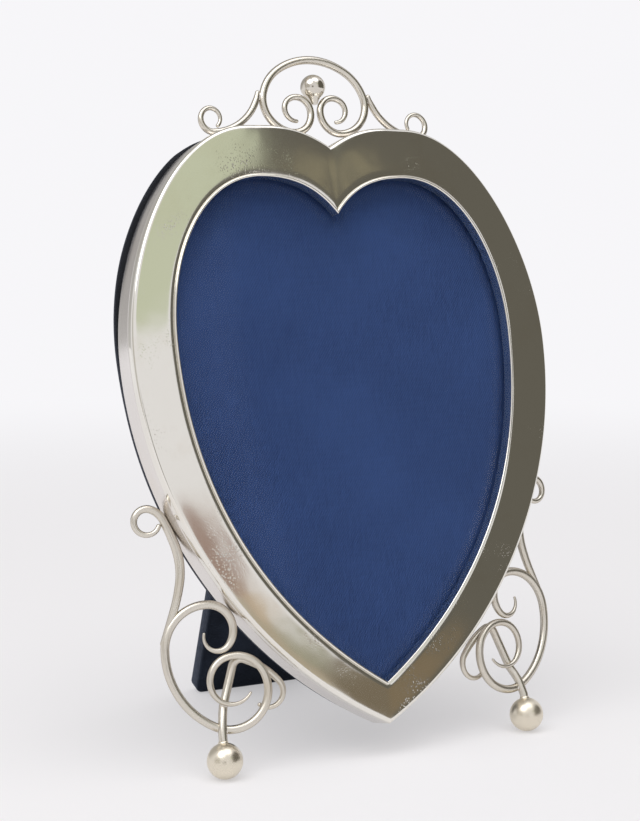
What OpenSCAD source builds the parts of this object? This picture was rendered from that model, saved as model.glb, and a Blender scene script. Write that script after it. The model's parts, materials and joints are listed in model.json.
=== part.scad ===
// Heart shaped easel frame: a silver front with scrolled wire crest and feet, bevelled
// glass, a velvet covered wooden back with turn buttons, and a hinged strut.
// Work plane: x to the right, y up the leaning face, z out of the face. z = 0 is the
// plane of the front's shoulder and y = 0 is the outer lower tip of the heart.

/* [Heart outline] */
// Height of the notch between the lobes above the lower tip
notch_h = 154.2; // [150:0.2:157]
// Height of the lobe tops above the lower tip
lobe_h = 159.6; // [157:0.2:164]
// Distance of each lobe top from the centre line
lobe_x = 23.2; // [20:0.2:27]
// Half of the greatest width
half_w = 62.2; // [59:0.2:65]
// Height at which the heart is widest
wide_h = 99.6; // [95:0.2:104]
// Angle between the notch flank and the vertical
notch_angle = 57; // [50:1:64]
// Angle between the lower flank and the vertical at the tip
tip_angle = 63; // [57:1:68]

/* [Sight opening] */
// Height of the opening's notch above the lower tip of the frame
sight_notch_h = 136.6; // [133:0.2:140]
// Height of the opening's lobe tops
sight_lobe_h = 146.2; // [143:0.2:149]
// Distance of each of the opening's lobe tops from the centre line
sight_lobe_x = 21.5; // [19:0.5:24]
// Half of the opening's greatest width
sight_half_w = 50.6; // [48:0.2:53]
// Height at which the opening is widest
sight_wide_h = 102.6; // [98:0.2:107]
// Height of the opening's lower tip
sight_tip_h = 10.1; // [8:0.1:13]
// Angle between the opening's notch flank and the vertical
sight_notch_angle = 38; // [33:1:44]
// Angle between the opening's lower flank and the vertical at its tip
sight_tip_angle = 57; // [52:1:62]

/* [Silver front] */
// Thickness of the stamped sheet and of the side band
sheet_t = 0.7; // [0.5:0.1:1]
// Radius of the rolled shoulder between face and band
shoulder_r = 1.8; // [1.4:0.1:2.6]
// Height of the face above the shoulder plane at the sight edge
dome_rise = 0.4; // [0.1:0.1:1]
// Depth behind the shoulder plane at which the band starts
band_front = 2.8; // [2.2:0.1:3.4]
// Depth behind the shoulder plane at which the band ends
band_back = 10; // [8:0.5:12]
// Thickness of the sight rim
rim_t = 0.7; // [0.5:0.1:1]
// Height of the sight rim above the face
rim_proud = 0.45; // [0.2:0.05:0.8]
// Depth of the sight rim's foot behind the shoulder plane
rim_foot = 3; // [2.4:0.2:3.6]

/* [Wirework] */
// Diameter of the crest wire at the top of its arch
crest_wire_d = 2.1; // [1.6:0.1:2.4]
// Diameter of the crest's side arms
crest_arm_d = 1.7; // [1.3:0.1:2]
// Diameter of the ball on the crest
crest_ball_d = 6.8; // [5:0.2:8]
// Diameter of the feet's scroll wire
foot_wire_d = 2.1; // [1.6:0.1:2.4]
// Diameter of the feet's outer arm where it meets the band
foot_arm_d = 2.5; // [1.9:0.1:2.9]
// Diameter of the ball feet
foot_ball_d = 9.2; // [7:0.2:11]
// Height on the flank at which the foot's arm is soldered
foot_seat_h = 50; // [46:0.5:54]
// Distance of the ball's centre below the foot's seat
foot_drop = 53.3; // [50:0.1:57]
// Largest angle between two rings of a bent wire
bend_step = 18; // [12:1:24]

/* [Glass and mount] */
// Thickness of the glass
glass_t = 2.2; // [1.8:0.1:2.6]
// Thickness left at the glass's bevelled edge
glass_edge_t = 1.1; // [0.8:0.1:1.4]
// Width of the bevel
bevel_w = 6.5; // [4:0.5:8]
// How far the glass reaches behind the sight rim
glass_lap = 2; // [1.4:0.1:2.4]
// Thickness of the cloth on the mount
cloth_t = 0.4; // [0.3:0.1:0.6]
// Thickness of the mount card
card_t = 1.2; // [0.8:0.1:1.6]

/* [Back] */
// Thickness of the velvet
velvet_t = 0.6; // [0.4:0.1:0.9]
// How far the back stands in from the band all round
back_inset = 0.5; // [0.2:0.1:1.2]
// How far the wooden flange stands behind the band
flange_t = 2.4; // [1.8:0.1:3.2]
// Gap between the wooden frame and the band
wood_gap = 0.1; // [0.05:0.05:0.3]
// Gap round the glass and card in the rebate
glass_gap = 0.3; // [0.2:0.1:0.5]
// Gap round the back panel
panel_gap = 0.4; // [0.2:0.1:0.6]

/* [Turn buttons] */
// Distance from the button's pivot to the centre of its nose
button_reach = 7; // [6:0.5:8]
// Radius of the button round its pivot
button_r = 2.6; // [2.3:0.1:3]
// Radius of the button's nose
button_nose_r = 1.5; // [1:0.1:2]
// Thickness of the button
button_t = 1; // [0.7:0.1:1.4]
// Gap between the button and the velvet
button_gap = 0.3; // [0.2:0.05:0.4]
// Radius of the button's screw
button_screw_r = 1.1; // [0.9:0.05:1.3]
// Radius of the button screw's head
button_head_r = 2; // [1.7:0.1:2.3]

/* [Hinge] */
// Height of the hinge pin above the lower tip of the heart
hinge_h = 113.6; // [106:0.2:120]
// Width of the hinge
hinge_w = 32; // [26:1:34]
// Height of each hinge plate from the pin
hinge_leaf_h = 10; // [9:0.5:12]
// Thickness of the hinge plates
leaf_t = 0.8; // [0.6:0.1:0.9]
// Outer radius of the knuckles
knuckle_r = 1.7; // [1.5:0.1:2]
// Radius of the hinge pin
pin_r = 0.8; // [0.6:0.05:1]
// Radial clearance between pin and knuckle
pin_gap = 0.05; // [0.03:0.01:0.09]
// Gap between neighbouring knuckles
knuckle_gap = 0.3; // [0.2:0.05:0.5]
// Radius of the hinge screws' heads
leaf_screw_head_r = 1.3; // [1.1:0.1:1.5]
// Radius of the hinge screws' shanks
leaf_screw_r = 0.6; // [0.5:0.05:0.7]

/* [Strut and stance] */
// How far the frame leans back from the vertical
lean = 12.7; // [8:0.1:16]
// Angle between the back and the open strut
open_angle = 33.4; // [28:0.2:38]
// Width of the strut
strut_w = 38; // [34:0.5:42]
// Thickness of the strut's wooden board
strut_t = 4; // [3:0.1:5]
// Size of the strut's cut corners
strut_corner = 3; // [1:0.5:6]

/* [Hidden] */

// Curve handles of each outline, in order from notch to tip: leaving the notch, before
// and after the lobe top, before and after the widest point, and at the tip
heart_pull = [12.3, 6, 22.5, 27, 41.5, 42];
sight_pull = [11, 6, 17, 24, 48, 29];
heart = [notch_h, notch_angle, lobe_x, lobe_h, half_w, wide_h, 0, tip_angle];
sight = [sight_notch_h, sight_notch_angle, sight_lobe_x, sight_lobe_h,
    sight_half_w, sight_wide_h, sight_tip_h, sight_tip_angle];
// Straight steps in each of the three curves of half a heart
curve_steps = [7, 12, 14];

// Depths behind the shoulder plane, front to back
wire_depth = (band_front + band_back) / 2;
glass_front = rim_foot;
cloth_front = glass_front + glass_t;
card_front = cloth_front + cloth_t;
panel_front = card_front + card_t;
flange_back = band_back + flange_t;
velvet_back = flange_back + velvet_t;
// Gap between the velvet and the strut's hinge plate when the strut is folded
plate_gap = 0.15;
// Gap between the hinge and the strut's heel, and between the open heel and its stop
strut_gap = 0.3;
stop_gap = 0.05;
leaf_back = velvet_back + plate_gap + leaf_t;
hinge_depth = velvet_back + plate_gap + knuckle_r;
heel_front = hinge_depth + knuckle_r + strut_gap;
strut_front = leaf_back;
strut_back = strut_front + strut_t + 2 * velvet_t;

// Start of each wire: place and heading. The crest's are measured from the lobe tops, the
// foot's from the point of the flank where it is soldered
crest_top_rise = 20.3;
crest_arm_start = [9.5, 20.1, -27];
foot_scroll_start = [-2.55, -21.5, -73];
foot_arm_start = [8.05, -22.8, 117];
// Distance of the ball foot inwards from the foot's seat, and depth of the stem in its socket
foot_ball_in = 6.1;
stem_socket = 1;
stem_gap = 0.02;
// Height of the crest's ball above the lobe tops, and the cone under it
crest_ball_rise = 13.2;
ball_cone_r = 1.9;
ball_cone_tip_r = 0.8;
ball_cone_l = 1.4;
// Bend lists: radius and turning angle of each bend, in order along the wire
crest_bends = [[18.7, -34], [12.2, -39], [7.9, -50], [9, -53], [5.6, -102], [4.1, -115], [3.3, -146]];
crest_arm_bends = [[17.9, -35], [64.7, 9], [11.5, 50], [3.3, 148]];
crest_curl_left = [2.7, 182];
crest_curl_right = [2.9, 150];
foot_bends = [[3.6, -157], [6.5, -124], [11.2, -91], [21.3, -66], [11.7, -61], [9.7, -77],
    [8.2, -85], [6.3, -88], [5.7, -132]];
foot_arm_bends = [[149.7, -3], [41.3, -11], [19.6, -30], [54.7, -7], [5.7, -43], [3.3, -268]];
foot_stem_bends = [[30, 19], [300, 2], [2.4, 92], [20, 27], [4, 170]];
// Thickness of each wire along its length, as a share of its diameter
crest_taper = [[0, 1], [16, 0.86], [42, 0.72], [61, 0.26]];
crest_arm_taper = [[0, 0.35], [8, 1], [30, 0.95], [48, 0.5]];
foot_taper = [[0, 0.3], [12, 0.9], [22, 1], [90, 0.95], [112, 0.75], [126, 0.28]];
foot_arm_taper = [[0, 0.45], [9, 0.85], [24, 1], [34, 0.85], [53, 0.5]];
foot_stem_taper = [[0, 1], [26, 0.95], [47, 0.5]];
// How far the stem stands behind the scroll along its length
foot_stem_set = [[0, 0], [4, 0.1], [11, 1], [48, 1]];
wire_sides = 10;
ball_fn = 48;
round_fn = 32;
// How far a cutting shape runs past what it cuts
cut = 1;

// Points of a cubic curve, without its last point, each with its direction
function cubic(a, b, c, d, n) = [for (i = [0:n - 1]) let (t = i / n, s = 1 - t)
    let (p = s * s * s * a + 3 * s * s * t * b + 3 * s * t * t * c + t * t * t * d,
        v = s * s * (b - a) + 2 * s * t * (c - b) + t * t * (d - c))
    [p, v / norm(v)]];
// Right half of a heart from notch to tip, without the tip
function half_heart(h, k) = let (
        notch = [0, h[0]], lobe = [h[2], h[3]], side = [h[4], h[5]], tip = [0, h[6]],
        away = [sin(h[1]), cos(h[1])], home = [sin(h[7]), cos(h[7])])
    concat(
        cubic(notch, notch + k[0] * away, lobe - [k[1], 0], lobe, curve_steps[0]),
        cubic(lobe, lobe + [k[2], 0], side + [0, k[3]], side, curve_steps[1]),
        cubic(side, side - [0, k[4]], tip + k[5] * home, tip, curve_steps[2]));
// Closed outline of a heart grown outwards by d, clockwise from the notch
function heart_line(h, k, d) = let (
        q = half_heart(h, k),
        right = [for (i = [1:len(q) - 1]) q[i][0] + d * [-q[i][1][1], q[i][1][0]]],
        n = len(right))
    concat([[0, h[0] + d / sin(h[1])]], right, [[0, h[6] - d / sin(h[7])]],
        [for (i = [n - 1:-1:0]) [-right[i][0], right[i][1]]]);
function frame_line(d) = heart_line(heart, heart_pull, d);
function sight_line(d) = heart_line(sight, sight_pull, d);

// Index triples of a tube: each ring of points joined to the next, and in a closed
// tube the last ring to the first
function tube_faces(rings, sides, closed) = [
    for (i = [0:rings - (closed ? 1 : 2)]) for (j = [0:sides - 1])
        let (a = i * sides, b = ((i + 1) % rings) * sides, k = (j + 1) % sides)
        each [[a + j, b + j, b + k], [a + j, b + k, a + k]]];
// Flat end of a tube, seen from its start (up) or from its end
function disc_face(first, sides, up) = [for (j = [0:sides - 1]) first + (up ? j : sides - 1 - j)];

// Loft round the heart: each profile point is [growth, share of the way to the sight, z]
module heart_loft(profile) {
    lines = [for (q = profile) q[1] == 1 ? sight_line(q[0]) :
        q[1] == 0 ? frame_line(q[0]) :
        (1 - q[1]) * frame_line(q[0]) + q[1] * sight_line(0)];
    n = len(lines[0]);
    sides = len(profile);
    polyhedron([for (i = [0:n - 1]) for (j = [0:sides - 1])
        [lines[j][i][0], lines[j][i][1], profile[j][2]]], tube_faces(n, sides, true), convexity = 4);
}

// Flat slab of an outline between two depths behind the shoulder plane
module slab(line, front, back) {
    translate([0, 0, -back])
        linear_extrude(height = back - front)
            polygon(line);
}

// Place of the work plane: leaning back, feet on the floor, centred in depth
// The foot's seat is taken from the flank where the arm's curl comes nearest to it, which
// lies above the seat and further out
foot_curl_rise = 6;
foot_curl_out = 2.86;
foot_x = lookup(foot_seat_h + foot_curl_rise, [for (q = half_heart(heart, heart_pull))
    if (q[0][1] <= wide_h) [q[0][1], q[0][0]]]) - foot_curl_out;
ball_x = foot_x - foot_ball_in;
ball_y = foot_seat_h - foot_drop;
ball_r = foot_ball_d / 2;
floor_drop = ball_r - ball_y * cos(lean) + wire_depth * sin(lean);
front_y = min(ball_y * sin(lean) + wire_depth * cos(lean) - ball_r,
    shoulder_r / sin(tip_angle) * sin(lean));
strut_angle = open_angle - lean;
pivot_z = floor_drop + hinge_h * cos(lean) - hinge_depth * sin(lean);
pivot_y = hinge_h * sin(lean) + hinge_depth * cos(lean);
// Distance from the pin down the strut to the floor, at a depth behind the pin
function strut_reach(depth) = (pivot_z + depth * sin(strut_angle)) / cos(strut_angle);
rear_y = pivot_y + strut_reach(strut_back - hinge_depth) * sin(strut_angle)
    + (strut_back - hinge_depth) * cos(strut_angle);
heel_h = ((heel_front - hinge_depth) * cos(open_angle)
    + hinge_depth - leaf_back - stop_gap) / sin(open_angle);

module on_frame() {
    translate([0, -(front_y + rear_y) / 2, floor_drop])
        rotate([90 - lean, 0, 0])
            children();
}

// The strut is drawn folded flat, with y measured up from the pin, and swung open
module on_strut() {
    on_frame()
        translate([0, hinge_h, -hinge_depth])
            rotate([open_angle, 0, 0])
                children();
}

// Points along a bent wire, each with its heading
function bend_points(x, y, h, r, a) = let (n = ceil(abs(a) / bend_step), s = sign(a))
    [for (i = [1:n]) let (g = h + a * i / n)
        [x + s * r * (sin(g) - sin(h)), y - s * r * (cos(g) - cos(h)), g]];
function wire_points(start, bends, k = 0) = k == len(bends) ? [] :
    let (p = bend_points(start[0], start[1], start[2], bends[k][0], bends[k][1]))
    concat(p, wire_points(p[len(p) - 1], bends, k + 1));
function wire_path(start, bends) = concat([start], wire_points(start, bends));
// Length along a path at each of its points
function wire_runs(p) = [for (i = 0, s = 0; i < len(p);
    i = i + 1, s = i < len(p) ? s + norm([p[i][0] - p[i - 1][0], p[i][1] - p[i - 1][1]]) : s) s];

// Round wire along a path: taper gives its thickness, set how far it stands back
module wire(path, d, taper, set = [[0, 0], [1, 0]]) {
    runs = wire_runs(path);
    n = len(path);
    points = [for (i = [0:n - 1]) let (r = d / 2 * lookup(runs[i], taper), z = -d * lookup(runs[i], set))
        for (j = [0:wire_sides - 1]) let (a = 360 * j / wire_sides)
            [path[i][0] - r * cos(a) * sin(path[i][2]),
                path[i][1] + r * cos(a) * cos(path[i][2]), z + r * sin(a)]];
    polyhedron(points, concat(tube_faces(n, wire_sides, false),
        [disc_face(0, wire_sides, true), disc_face((n - 1) * wire_sides, wire_sides, false)]),
        convexity = 4);
}

// Half of the crest from the top of the arch, and the whole from scroll to scroll
crest_half = wire_path([0, lobe_h + crest_top_rise, 0], crest_bends);
crest_whole = concat(
    [for (i = [len(crest_half) - 1:-1:1]) [-crest_half[i][0], crest_half[i][1], -crest_half[i][2]]],
    crest_half);
crest_length = wire_runs(crest_half)[len(crest_half) - 1];
crest_full_taper = concat(
    [for (i = [len(crest_taper) - 1:-1:1]) [crest_length - crest_taper[i][0], crest_taper[i][1]]],
    [for (q = crest_taper) [crest_length + q[0], q[1]]]);

module at_wires() {
    on_frame()
        translate([0, 0, -wire_depth])
            children();
}
module left() {
    mirror([1, 0, 0])
        children();
}

// Crown of the face: distance in from the shoulder, share of the way to the sight opening
// and share of the rise
crown = [[1.5, 0.12, 0.35], [0, 0.5, 0.8]];
module face_moulding() {
    r = shoulder_r;
    s = shoulder_r - sheet_t;
    color("#c8c3b4")
        on_frame()
            heart_loft(concat(
                [[0, 0, -band_front]],
                [for (a = [0:30:90]) [r * cos(a) - r, 0, r * sin(a) - r]],
                [for (c = crown) [-r - c[0], c[1], dome_rise * c[2]]],
                [[0, 1, dome_rise], [0, 1, dome_rise - sheet_t]],
                [[-r - crown[1][0], crown[1][1], dome_rise * crown[1][2] - sheet_t]],
                [for (a = [90:-45:0]) [s * cos(a) - r, 0, s * sin(a) - r]],
                [[-sheet_t, 0, -band_front]]));
}

module side_band() {
    color("#cdc8bd")
        on_frame()
            difference() {
                slab(frame_line(0), band_front, band_back);
                slab(frame_line(-sheet_t), band_front - cut, band_back + cut);
            }
}

module sight_rim() {
    top = dome_rise + rim_proud;
    color("#dad7cc")
        on_frame()
            heart_loft(concat(
                [[0, 1, -rim_foot]],
                [for (a = [0:45:180]) [-(1 - cos(a)) * rim_t / 2, 1, top - (1 - sin(a)) * rim_t / 2]],
                [[-rim_t, 1, -rim_foot]]));
}

module crest_scroll() {
    color("#cfc9ba")
        at_wires()
            wire(crest_whole, crest_wire_d, crest_full_taper);
}
module crest_arm(curl) {
    color("#cfc9ba")
        at_wires()
            wire(wire_path(crest_arm_start + [0, lobe_h, 0], concat(crest_arm_bends, [curl])),
                crest_arm_d, crest_arm_taper);
}
module crest_arm_left() {
    left()
        crest_arm(crest_curl_left);
}
module crest_arm_right() {
    crest_arm(crest_curl_right);
}
module crest_ball() {
    color("#d6d2c6")
        at_wires()
            translate([0, lobe_h + crest_ball_rise, 0]) {
                sphere(d = crest_ball_d, $fn = ball_fn);
                rotate([90, 0, 0])
                    cylinder(h = crest_ball_d / 2 + ball_cone_l, r1 = ball_cone_r, r2 = ball_cone_tip_r,
                        $fn = round_fn);
            }
}

module foot_scroll_right() {
    color("#cfc9ba")
        at_wires()
            wire(wire_path(foot_scroll_start + [foot_x, foot_seat_h, 0], foot_bends),
                foot_wire_d, foot_taper);
}
module foot_scroll_left() {
    left()
        foot_scroll_right();
}
module foot_arm_right() {
    color("#cfc9ba")
        at_wires()
            wire(wire_path(foot_arm_start + [foot_x, foot_seat_h, 0], foot_arm_bends),
                foot_arm_d, foot_arm_taper);
}
module foot_arm_left() {
    left()
        foot_arm_right();
}
module foot_stem_right() {
    color("#cfc9ba")
        at_wires()
            wire(wire_path([ball_x, ball_y + ball_r - stem_socket, 90], foot_stem_bends),
                foot_wire_d, foot_stem_taper, foot_stem_set);
}
module foot_stem_left() {
    left()
        foot_stem_right();
}
module foot_ball_right() {
    color("#c4b79f")
        at_wires()
            translate([ball_x, ball_y, 0])
                difference() {
                    sphere(d = foot_ball_d, $fn = ball_fn);
                    translate([0, ball_r - stem_socket - stem_gap, 0])
                        rotate([-90, 0, 0])
                            cylinder(h = ball_r, r = foot_wire_d / 2 + stem_gap, $fn = round_fn);
                }
}
module foot_ball_left() {
    left()
        foot_ball_right();
}

// Bevelled plate of glass: back and edge at full size, front drawn in by the bevel,
// both faces closed by a fan of triangles round a point on the centre line
module glass() {
    full = sight_line(glass_lap);
    flat = sight_line(glass_lap - bevel_w);
    n = len(full);
    back_z = -glass_front - glass_t;
    rings = [[full, back_z], [full, back_z + glass_edge_t], [flat, -glass_front]];
    points = concat([for (q = rings) for (p = q[0]) [p[0], p[1], q[1]]],
        [[0, sight_wide_h, back_z], [0, sight_wide_h, -glass_front]]);
    color("#9fb4c4", 0.35)
        on_frame()
            polyhedron(points, concat(
                [for (i = [0:1]) for (j = [0:n - 1]) let (a = i * n, k = (j + 1) % n)
                    each [[a + j, a + n + k, a + k], [a + j, a + n + j, a + n + k]]],
                [for (j = [0:n - 1]) [j, (j + 1) % n, 3 * n]],
                [for (j = [0:n - 1]) [2 * n + j, 3 * n + 1, 2 * n + (j + 1) % n]]),
                convexity = 4);
}
module mount_cloth() {
    color("#2c3f6e")
        on_frame()
            slab(sight_line(glass_lap), cloth_front, card_front);
}
module mount_card() {
    color("#b9b09a")
        on_frame()
            slab(sight_line(glass_lap), card_front, panel_front);
}

// Pivots of the turn buttons: middle of the wooden ring, with the direction inwards
ring_in = sight_line(glass_lap + glass_gap);
ring_out = frame_line(-back_inset - velvet_t);
upper_index = curve_steps[0] + 4;
lower_index = curve_steps[0] + curve_steps[1] + 6;
function button_place(i) = let (v = ring_in[i] - ring_out[i])
    [(ring_in[i] + ring_out[i]) / 2, atan2(v[1], v[0])];
module at_button(i) {
    place = button_place(i);
    on_frame()
        translate([place[0][0], place[0][1], 0])
            rotate([0, 0, place[1]])
                children();
}
module turn_button(i) {
    color("#b08d4a")
        at_button(i)
            translate([0, 0, -velvet_back - button_gap - button_t])
                difference() {
                    hull() {
                        cylinder(h = button_t, r = button_r, $fn = round_fn);
                        translate([button_reach, 0, 0])
                            cylinder(h = button_t, r = button_nose_r, $fn = round_fn);
                    }
                    translate([0, 0, -cut])
                        cylinder(h = button_t + 2 * cut, r = button_screw_r + pin_gap, $fn = ball_fn);
                }
}
module turn_button_upper_right() {
    turn_button(upper_index);
}
module turn_button_upper_left() {
    left()
        turn_button(upper_index);
}
module turn_button_lower_right() {
    turn_button(lower_index);
}
module turn_button_lower_left() {
    left()
        turn_button(lower_index);
}
// Screws of the turn buttons: length, height of the head, its edge drawn in at the top, and
// the gap under the head
button_screw_l = 7;
button_head_h = 0.8;
button_head_edge = 0.5;
button_head_gap = 0.1;
// Radial gaps of a screw in its hole in wood or metal, and in velvet
screw_gap = 0.02;
velvet_hole_gap = 0.1;
button_under = velvet_back + button_gap + button_t + button_head_gap;
module button_screw(grow) {
    translate([0, 0, -button_under])
        cylinder(h = button_screw_l, r = button_screw_r + grow, $fn = round_fn);
}
module each_button() {
    for (i = [upper_index, lower_index]) {
        at_button(i)
            children();
        left()
            at_button(i)
                children();
    }
}
module button_screws() {
    color("#a9884a")
        each_button() {
            button_screw(0);
            translate([0, 0, -button_under - button_head_h])
                cylinder(h = button_head_h, r1 = button_head_r - button_head_edge, r2 = button_head_r,
                    $fn = round_fn);
        }
}

// Wooden ring inside the band, with a flange that laps the band's rear edge
module wood_frame() {
    color("#6b4a2c")
        difference() {
            on_frame()
                difference() {
                    union() {
                        slab(frame_line(-sheet_t - wood_gap), rim_foot, band_back);
                        slab(frame_line(-back_inset - velvet_t), band_back, flange_back);
                    }
                    slab(ring_in, rim_foot - cut, flange_back + cut);
                }
            each_button()
                button_screw(screw_gap);
        }
}
module frame_velvet() {
    color("#17171b")
        difference() {
            on_frame()
                difference() {
                    slab(frame_line(-back_inset), band_back, velvet_back);
                    slab(frame_line(-back_inset - velvet_t), band_back - cut, flange_back);
                    slab(ring_in, band_back - cut, velvet_back + cut);
                }
            each_button()
                button_screw(velvet_hole_gap);
        }
}

// Hinge screws: distance from the pin, spacing, length, and land under the countersunk head
leaf_screw_y = 7.2;
leaf_screw_pitch = 11;
screw_l = 4;
screw_land = 0.1;
module screw_row(side, top, length, grow) {
    for (i = [-1:1])
        translate([i * leaf_screw_pitch, side * leaf_screw_y, top])
            rotate([side > 0 ? 0 : 180, 0, 0]) {
                cylinder(h = length, r = leaf_screw_r + grow, $fn = round_fn);
                cylinder(h = leaf_t - screw_land, r1 = leaf_screw_head_r + grow, r2 = leaf_screw_r + grow,
                    $fn = round_fn);
            }
}
module back_screws(grow) {
    on_frame()
        translate([0, hinge_h, 0])
            screw_row(1, -leaf_back, screw_l, grow);
}
module strut_screws(grow) {
    on_strut()
        screw_row(-1, hinge_depth - leaf_back + leaf_t, screw_l, grow);
}

module back_panel() {
    color("#6b4a2c")
        difference() {
            on_frame()
                slab(sight_line(glass_lap + glass_gap - panel_gap), panel_front, flange_back);
            back_screws(screw_gap);
        }
}
module panel_velvet() {
    color("#17171b")
        difference() {
            on_frame()
                slab(sight_line(glass_lap + glass_gap - panel_gap), flange_back, velvet_back);
            back_screws(velvet_hole_gap);
        }
}

// Hinge plate: knuckles round the pin, tabs, and a plate that starts clear of the others
module hinge_plate(side, thick, knuckles) {
    plate_start = knuckle_r + knuckle_gap;
    flat = hinge_depth - leaf_back;
    difference() {
        union() {
            translate([-hinge_w / 2, side > 0 ? plate_start : -hinge_leaf_h, flat])
                cube([hinge_w, hinge_leaf_h - plate_start, thick]);
            for (k = knuckles) {
                translate([k[0], 0, 0])
                    rotate([0, 90, 0])
                        cylinder(h = k[1] - k[0], r = knuckle_r, $fn = ball_fn);
                translate([k[0], side > 0 ? 0 : -plate_start, flat])
                    cube([k[1] - k[0], plate_start, thick]);
            }
        }
        translate([-hinge_w, 0, 0])
            rotate([0, 90, 0])
                cylinder(h = 2 * hinge_w, r = pin_r + pin_gap, $fn = ball_fn);
    }
}
knuckle_w = hinge_w / 4;
module hinge_plate_back() {
    color("#b08d4a")
        difference() {
            on_frame()
                translate([0, hinge_h, -hinge_depth])
                    hinge_plate(1, leaf_t + plate_gap,
                        [[-hinge_w / 2, -hinge_w / 2 + knuckle_w], [hinge_w / 2 - knuckle_w, hinge_w / 2]]);
            back_screws(screw_gap);
        }
}
module hinge_plate_strut() {
    color("#b08d4a")
        difference() {
            on_strut()
                hinge_plate(-1, leaf_t,
                    [[-hinge_w / 2 + knuckle_w + knuckle_gap, hinge_w / 2 - knuckle_w - knuckle_gap]]);
            strut_screws(screw_gap);
        }
}
// Heads of the hinge pin: height, how far they overhang, and the gap to the knuckles
pin_head_h = 0.6;
pin_head_over = 0.5;
pin_head_gap = 0.1;
module hinge_pin() {
    reach = hinge_w / 2 + pin_head_gap;
    color("#c2a763")
        on_frame()
            translate([0, hinge_h, -hinge_depth])
                rotate([0, 90, 0]) {
                    cylinder(h = 2 * reach, r = pin_r, center = true, $fn = ball_fn);
                    for (end = [-reach - pin_head_h, reach])
                        translate([0, 0, end])
                            cylinder(h = pin_head_h, r = pin_r + pin_head_over, $fn = ball_fn);
                }
}
module hinge_screws_back() {
    color("#a9884a")
        back_screws(0);
}
module hinge_screws_strut() {
    color("#a9884a")
        strut_screws(0);
}

// Side view of the strut less a margin all round, and its front view with cut corners
module strut_side(margin) {
    front = strut_front + margin - hinge_depth;
    back = strut_back - margin - hinge_depth;
    heel = heel_front - hinge_depth;
    shoulder = -knuckle_r - 2 * strut_gap;
    polygon([[front, shoulder], [heel, shoulder], [heel, heel_h], [back, heel_h],
        [back, -strut_reach(back)], [front, -strut_reach(front)]]);
}
module strut_solid(margin) {
    w = strut_w / 2 - margin;
    foot = -strut_reach(strut_back - hinge_depth);
    intersection() {
        translate([-w, 0, 0])
            rotate([0, 90, 0])
                linear_extrude(height = 2 * w)
                    strut_side(margin);
        translate([0, 0, -hinge_depth])
            linear_extrude(height = 2 * hinge_depth)
                polygon([[-w, heel_h], [w, heel_h], [w, foot + strut_corner],
                    [w - strut_corner, foot], [strut_corner - w, foot], [-w, foot + strut_corner]]);
    }
}
module strut_board() {
    color("#6b4a2c")
        difference() {
            on_strut()
                strut_solid(velvet_t);
            strut_screws(screw_gap);
        }
}
module strut_velvet() {
    color("#1b1e2a")
        difference() {
            on_strut()
                difference() {
                    strut_solid(0);
                    strut_solid(velvet_t);
                }
            strut_screws(velvet_hole_gap);
        }
}

face_moulding();
side_band();
sight_rim();
crest_scroll();
crest_arm_left();
crest_arm_right();
crest_ball();
foot_scroll_left();
foot_scroll_right();
foot_arm_left();
foot_arm_right();
foot_stem_left();
foot_stem_right();
foot_ball_left();
foot_ball_right();
glass();
mount_cloth();
mount_card();
wood_frame();
frame_velvet();
back_panel();
panel_velvet();
turn_button_upper_left();
turn_button_upper_right();
turn_button_lower_left();
turn_button_lower_right();
button_screws();
hinge_plate_back();
hinge_plate_strut();
hinge_pin();
hinge_screws_back();
hinge_screws_strut();
strut_board();
strut_velvet();
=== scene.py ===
"""Heart shaped easel frame: the looks of its silver front, scrolled wirework, bevelled
glass, cloth mount, velvet back, brass fittings and strut, laid out as an add-on."""

import json
from math import ceil, cos, pi, radians, sin

import bmesh
import bpy
import numpy as np
from bpy.props import FloatProperty, FloatVectorProperty, IntProperty, PointerProperty
from mathutils import Matrix, Vector, noise


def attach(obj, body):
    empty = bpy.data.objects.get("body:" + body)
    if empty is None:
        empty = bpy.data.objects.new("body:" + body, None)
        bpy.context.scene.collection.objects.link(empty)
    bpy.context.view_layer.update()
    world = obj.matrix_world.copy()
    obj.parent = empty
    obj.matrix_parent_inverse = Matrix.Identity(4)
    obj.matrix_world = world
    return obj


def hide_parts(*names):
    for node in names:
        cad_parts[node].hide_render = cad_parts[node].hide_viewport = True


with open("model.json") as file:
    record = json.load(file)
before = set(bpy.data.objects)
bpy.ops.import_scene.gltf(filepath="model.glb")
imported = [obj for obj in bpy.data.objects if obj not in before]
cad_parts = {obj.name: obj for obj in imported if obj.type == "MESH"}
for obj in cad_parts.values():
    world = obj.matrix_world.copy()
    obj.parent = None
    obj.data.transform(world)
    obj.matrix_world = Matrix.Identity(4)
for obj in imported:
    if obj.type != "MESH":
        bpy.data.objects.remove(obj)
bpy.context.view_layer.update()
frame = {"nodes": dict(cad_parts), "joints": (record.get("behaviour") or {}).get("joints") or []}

bl_info = {
    "name": "Heart Easel Frame",
    "version": (1, 0, 0),
    "blender": (4, 5, 0),
    "location": "View3D > Sidebar > Heart Frame",
    "description": "Builds the finished pieces of a heart shaped easel frame",
    "category": "Object",
}

MM = 0.001
WELD = 2e-6

# The work plane: x to the right, y up the leaning face, z out of it. Its place and lean
# come from the frame's joints, as does the strut's swing.
JOINTS = {joint["name"]: joint for joint in frame["joints"]}
BUTTONS = ("upper_left", "upper_right", "lower_left", "lower_right")
FACE_NORMAL = Vector(JOINTS["turn_button_upper_left_pivot"]["axis"]).normalized()
FACE_UP = FACE_NORMAL.cross(Vector((1, 0, 0)))
HINGE_PIN = Vector(JOINTS["strut_hinge"]["pos_m"])
OPEN_ANGLE = radians(-JOINTS["strut_hinge"]["range_deg"][0])
LEAN = FACE_UP.angle(Vector((0, 0, 1)))


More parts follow.
